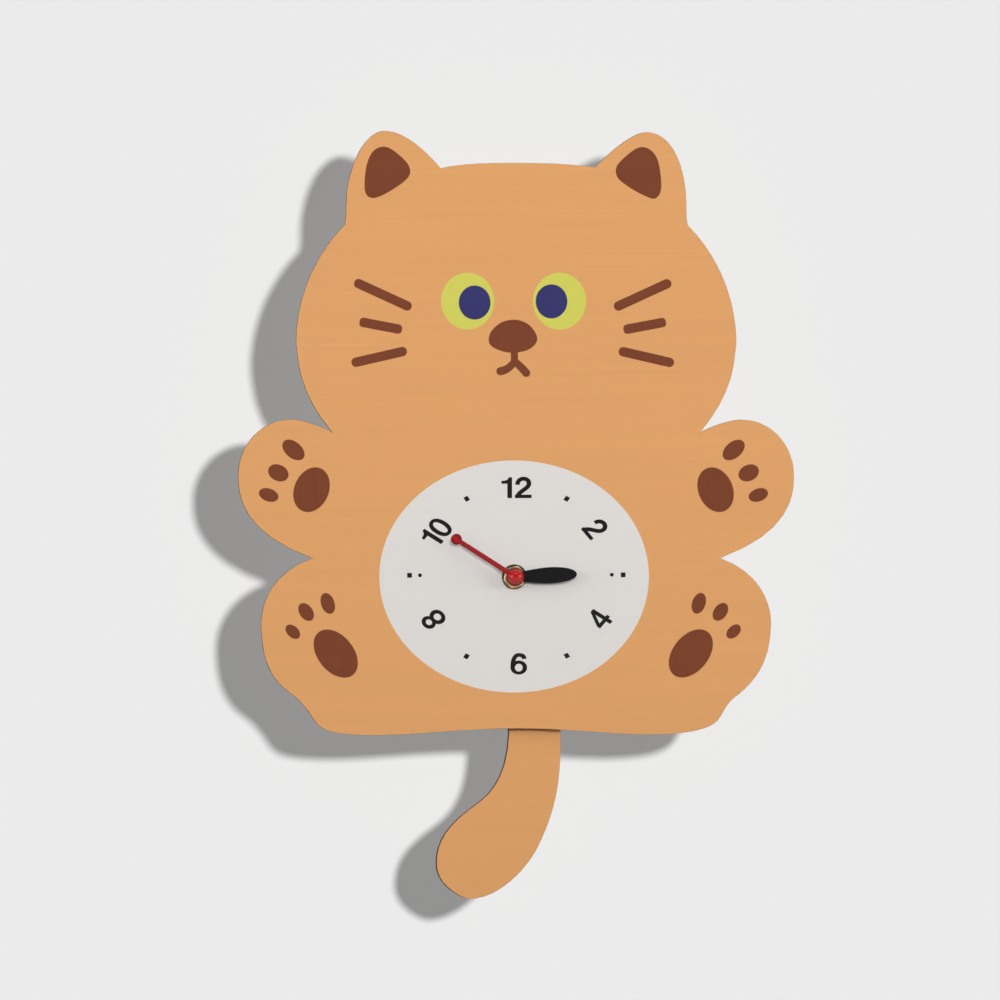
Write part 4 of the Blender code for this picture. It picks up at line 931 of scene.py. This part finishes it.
def make_cap():
    """The cap on the hands: a shallow dome on a straight skirt."""
    low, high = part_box("centre_cap")
    radius = (high.x - low.x) / 2 / MM
    top, bottom = low.y / MM, high.y / MM
    skirt_height, steps = 0.8, 24
    rim = bottom - skirt_height
    rise = rim - top
    sphere = (radius * radius + rise * rise) / (2 * rise)
    dome = []
    for i in range(1, steps):
        a = math.asin(radius / sphere) * (1 - i / steps)
        dome.append((sphere * math.sin(a), top + sphere - sphere * math.cos(a)))
    skirt = [(0.0, bottom), (radius - 0.12, bottom), (radius - 0.03, bottom - 0.04), (radius, bottom - 0.12)]
    skirt += [(radius, rim + 0.12), (radius - 0.02, rim + 0.03)]
    spun("cap_dome", [(RED_DOME, skirt + dome + [(0.0, top)])], body="minute_shaft",
         replaces=("centre_cap",), slot="red_plastic", smooth=50.0)


def make_washer():
    front, back = depths("brass_washer")
    _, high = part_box("brass_washer")
    outer, hole = high.x / MM, 4.2
    section = [
        (hole, back), (outer - 0.10, back), (outer - 0.03, back - 0.03), (outer, back - 0.10),
        (outer, front + 0.16), (outer - 0.05, front + 0.05), (outer - 0.16, front),
        (hole + 0.10, front), (hole + 0.02, front + 0.02), (hole, front + 0.10), (hole, back),
    ]
    spun("washer_ring", [(WASHER_BRASS, section)], body="frame", replaces=("brass_washer",), slot="brass")


def make_nut():
    """The hexagonal nut, with its corners turned off at both faces."""
    front, back = depths("hex_nut")
    half_flats, land, hole, chamfer = 5.0, 4.85, 4.05, 0.35
    first_corner = 15.0
    corner_slope = math.tan(math.radians(30))

    def section(angle):
        from_flat = (math.degrees(angle) - first_corner) % 60.0 - 30.0
        radius = half_flats / math.cos(math.radians(from_flat))
        fall = max(0.0, radius - land) * corner_slope
        return [
            (hole, front + chamfer), (hole + chamfer, front), (land, front), (radius, front + fall),
            (radius, back - fall), (land, back), (hole + chamfer, back), (hole, back - chamfer),
            (hole, front + chamfer),
        ]

    spun("clamp_nut", [(TURNED_BRASS, section)], body="frame", replaces=("hex_nut",), slot="brass",
         smooth=25.0)


def make_bush():
    """The threaded bush behind and through the board. Its thread is drawn as level ridges."""
    front, back = depths("threaded_bush")
    bore, crest, root, pitch, crest_land, root_land = 2.56, 4.0, 3.72, 0.75, 0.08, 0.04
    flange_radius, flange = 5.5, back - 1.1
    section = [(bore, back), (flange_radius, back), (flange_radius, flange), (crest, flange)]
    for i in range(int((flange - front - 0.3) / pitch)):
        start = flange - pitch * i
        valley = start - pitch / 2
        section += [(crest, start - crest_land), (root, valley + root_land)]
        section += [(root, valley - root_land), (crest, start - pitch + crest_land)]
    section += [(root, front), (bore + 0.15, front), (bore, front + 0.15), (bore, back)]
    spun("bush_thread", [(TURNED_BRASS, section)], body="frame", replaces=("threaded_bush",), slot="brass",
         smooth=20.0)


def make_battery():
    """An AA cell: foil jacket turned over at both ends, steel cap with its seal, and a dished steel base."""
    low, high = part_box("battery")
    centre = (0.0, (low.y + high.y) / 2 / MM, (low.z + high.z) / 2 / MM)
    radius = (high.z - low.z) / 2 / MM
    start, tip = low.x / MM, high.x / MM
    cap_height = 1.3
    end = tip - cap_height
    jacket = [
        (radius - 1.5, start + 0.12), (radius - 1.3, start + 0.02), (radius - 0.6, start),
        (radius - 0.2, start + 0.12), (radius, start + 0.45), (radius, start + 12.0), (radius, start + 24.0),
        (radius, end - 12.0), (radius, end - 0.55), (radius - 0.15, end - 0.18), (radius - 0.5, end),
        (radius - 1.4, end), (radius - 1.6, end - 0.12),
    ]
    base = [(0.0, start + 0.42), (3.4, start + 0.40), (4.4, start + 0.16), (radius - 1.5, start + 0.12)]
    seal = [(radius - 1.6, end - 0.12), (radius - 1.75, end - 0.35), (3.6, end - 0.35), (3.3, end - 0.10)]
    cap = [(3.3, end - 0.10), (2.9, end), (2.75, end + 0.25)]
    cap += [(2.7, tip - 0.35), (2.5, tip - 0.08), (2.2, tip), (0.0, tip)]
    profiles = [(JACKET, jacket), (NICKEL, base), (BLACK_RESIN, seal), (NICKEL, cap)]
    spun("aa_cell", profiles, steps=80, axis="X", centre=centre, body="frame", replaces=("battery",),
         slot="battery_jacket", smooth=40.0)


def make_case_lip():
    """The tongue in the rim of the movement's case, which closes the seam between its halves."""
    bite, outer_inset, inner_inset = 0.3, 0.35, 0.85
    front, back = depths("movement_front_case")[1], depths("movement_rear_case")[0]
    rim = outlines("movement_rear_case", back)[0]
    loops = [inset(rim, outer_inset), inset(rim, inner_inset)]
    plate("case_lip", loops, front - bite, back + bite, ((0.0, 0.0),), plain(BLACK_MOULDED), body="frame",
          slot="black_plastic")


# ---- finishes of the CAD nodes that are shown ----

# Material, width of the eased edges in millimetres, and the nodes.
NODE_FINISHES = [
    (BLACK_MOULDED, 0.25, ("movement_front_case", "movement_rear_case")),
    (BLACK_MOULDED, 0.12, ("setting_knob",)),
    (BLACK_RESIN, 0.20, ("clock_chip",)),
    (RUBBER, 0.10, ("rubber_washer",)),
    (NYLON, 0.08, ("gear_plate",)),
    (NYLON, 0.10, ("motor_coil_bobbin", "pendulum_coil_bobbin")),
    (ACETAL, 0.0, ("hour_wheel", "minute_arbor", "motion_wheel", "centre_wheel")),
    (ACETAL, 0.0, ("third_wheel", "seconds_wheel", "intermediate_wheel", "rotor_pinion")),
    (ACETAL, 0.12, ("pendulum_arm",)),
    (NICKEL, 0.10, ("rotor_magnet",)),
    (NICKEL, 0.12, ("pendulum_magnet",)),
    (STEEL_X, 0.05, ("stator_plate", "pendulum_pivot_pin")),
    (STEEL_X, 0.08, ("tail_hanger",)),
    (STEEL_Z, 0.04, ("battery_positive_contact", "battery_negative_contact")),
    (STEEL_Z, 0.05, ("coil_core",)),
    (STEEL_Z, 0.15, ("quartz_crystal",)),
    (SCREW_ZINC, 0.08, ("tail_screw_left", "tail_screw_right")),
    (COPPER_UP, 0.10, ("motor_coil_winding",)),
    (COPPER_DEEP, 0.10, ("pendulum_coil_winding",)),
    (CIRCUIT, 0.03, ("circuit_board", "pendulum_board")),
]


def ease_edges(node, width):
    """Rounds a CAD node's sharp edges with modifiers. Its own mesh stays as it is."""
    weld = node.modifiers.new("joined", "WELD")
    weld.merge_threshold = SAME_POINT
    flat = node.modifiers.new("flats", "DECIMATE")
    flat.decimate_type = "DISSOLVE"
    flat.angle_limit = math.radians(0.5)
    bevel = node.modifiers.new("eased", "BEVEL")
    bevel.width = width * MM
    bevel.segments = 2
    bevel.limit_method = "ANGLE"
    bevel.angle_limit = math.radians(40)


def finish_nodes():
    for material, width, names in NODE_FINISHES:
        for node in (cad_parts[name] for name in names):
            for slot in node.material_slots:
                slot.material = material
            if width:
                ease_edges(node, width)


# ---- stage, lights and camera ----

# The wall's place along Y, and how far the shadow's middle lies from the clock's, across and up.
WALL_MM = 30.0
SHADOW_OFFSET_MM = (-18.7, -12.4)
# The stage in metres: the floor's height, and how far both sheets reach from the clock.
FLOOR = -0.62
REACH = 4.0
# The brightness of the backdrop where the stage doesn't reach.
PALE = 0.83
CAMERA_TARGET_MM = (-7.11, -21.2, 38.1)
# Degrees to the left of the dial's axis.
CAMERA_TURN = 4.6
# Metres from the target, and the width in metres that the camera sees there.
CAMERA_DISTANCE = 12.0
VIEW_WIDTH = 0.4954
# Soft lights on the clock, as name, place and size in metres, watts, and whether they leave highlights.
SOFTBOXES = [
    ("left_softbox", (-1.25, -1.0, 0.25), (0.5, 0.7), 4.0, True),
    ("left_strip", (-1.1, -0.30, 0.10), (0.15, 0.20), 2.2, True),
    ("right_softbox", (1.25, -1.0, 0.25), (0.5, 0.7), 5.0, True),
    ("right_strip", (1.1, -0.30, 0.10), (0.22, 0.28), 2.2, True),
    ("front_fill", (0.0, -1.5, 0.26), (0.30, 0.30), 10.9, False),
    ("overhead", (0.1, -0.55, 0.80), (1.2, 0.35), 1.2, True),
    ("rear_fill", (-0.9, 1.1, 0.8), (0.9, 0.9), 24.0, True),
    ("rear_side", (1.3, 0.6, 0.3), (0.5, 0.9), 9.0, True),
]


def stage_sheet(name, corners, grey, glow):
    """A flat sheet in matt paint with an even glow. It is clear from behind, so that it never hides the
    clock."""
    paint = bpy.data.materials.new(name + "_paint")
    paint.use_nodes = True
    tree = paint.node_tree
    shader = tree.nodes["Principled BSDF"]
    plug(tree, shader, {"Base Color": (grey, grey, grey, 1.0), "Roughness": 0.9, "Specular IOR Level": 0.0})
    plug(tree, shader, {"Emission Color": (1.0, 1.0, 1.0, 1.0), "Emission Strength": glow})
    clear = tree.nodes.new("ShaderNodeBsdfTransparent").outputs[0]
    behind = tree.nodes.new("ShaderNodeNewGeometry").outputs["Backfacing"]
    both = add_node(tree, "MixShader", {0: behind, 1: shader.outputs[0], 2: clear})
    plug(tree, tree.nodes["Material Output"], {"Surface": both.outputs[0]})
    mesh = bpy.data.meshes.new(name)
    mesh.from_pydata(corners, [], [(0, 1, 2, 3)])
    mesh.materials.append(paint)
    thing = add_object("stage_" + name, mesh)
    thing.visible_shadow = False
    thing.visible_diffuse = False
    thing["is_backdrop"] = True
    return thing


def make_stage():
    """A pale wall behind the clock and a pale floor below it. Gives the wall."""
    y, z, r = WALL_MM * MM, FLOOR, REACH
    wall = stage_sheet("wall", [(-r, y, z), (r, y, z), (r, y, r), (-r, y, r)], 0.1, 0.272)
    stage_sheet("floor", [(-r, -r, z), (r, -r, z), (r, r, z), (-r, r, z)], 0.3, 0.72)
    return wall


def make_world():
    """A dim surround that is brighter above, in front of a pale backdrop."""
    world = bpy.data.worlds.new("studio")
    world.use_nodes = True
    tree = world.node_tree
    place = tree.nodes.new("ShaderNodeTexCoord").outputs["Generated"]
    height = add_node(tree, "SeparateXYZ", {0: place}).outputs["Z"]
    levels = {"Value": height, "From Min": -1.0, "To Min": 0.08, "To Max": 0.24}
    strength = add_node(tree, "MapRange", levels).outputs[0]
    surround = tree.nodes["Background"]
    plug(tree, surround, {"Color": (1.0, 1.0, 1.0, 1.0), "Strength": strength})
    backdrop = add_node(tree, "Background", {"Color": (PALE, PALE, PALE, 1.0)})
    seen = tree.nodes.new("ShaderNodeLightPath").outputs["Is Camera Ray"]
    shaders = {0: seen, 1: surround.outputs[0], 2: backdrop.outputs[0]}
    both = add_node(tree, "MixShader", shaders)
    plug(tree, tree.nodes["World Output"], {"Surface": both.outputs[0]})
    bpy.context.scene.world = world


def add_light(name, data, place, target, lit):
    """A light that shines from a place towards a target, and only on some things."""
    lamp = add_object(name, data)
    lamp.location = place
    lamp.rotation_euler = (Vector(target) - Vector(place)).to_track_quat("-Z", "Y").to_euler()
    group = bpy.data.collections.new(name + "_receivers")
    for thing in lit:
        group.objects.link(thing)
    lamp.light_linking.receiver_collection = group
    return lamp


def make_lights(wall):
    """A sun that only draws the clock's shadow on the wall, and soft light that is only on the clock."""
    key = bpy.data.lights.new("shadow_key", "SUN")
    key.energy = 18.7
    key.angle = math.radians(5.2)
    front, back = depths("body_panel")
    across, up = SHADOW_OFFSET_MM
    shadow = Vector((across, WALL_MM - (front + back) / 2, up)) * MM
    add_light("shadow_key", key, -shadow, (0.0, 0.0, 0.0), [wall])
    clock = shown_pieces()
    for name, place, size, power, shines in SOFTBOXES:
        data = bpy.data.lights.new(name, "AREA")
        data.shape = "RECTANGLE"
        data.size, data.size_y = size
        data.energy = power
        add_light(name, data, place, (0.0, 0.0, 0.03), clock).visible_glossy = shines


def make_camera():
    """A very long lens at the height of the cat's chest, a little from the picture's left."""
    data = bpy.data.cameras.new("camera")
    data.sensor_width = 36.0
    data.lens = data.sensor_width * CAMERA_DISTANCE / VIEW_WIDTH
    camera = add_object("camera", data)
    target = Vector(CAMERA_TARGET_MM) * MM
    turn = math.radians(CAMERA_TURN)
    back = Vector((-math.sin(turn), -math.cos(turn), 0.0))
    camera.location = target + back * CAMERA_DISTANCE
    camera.rotation_euler = (-back).to_track_quat("-Z", "Y").to_euler()
    bpy.context.scene.camera = camera


make_boards()
make_hands()
make_cap()
make_washer()
make_nut()
make_bush()
make_battery()
make_case_lip()
finish_nodes()
make_world()
make_lights(make_stage())
make_camera()
bpy.context.scene.view_settings.view_transform = "Standard"
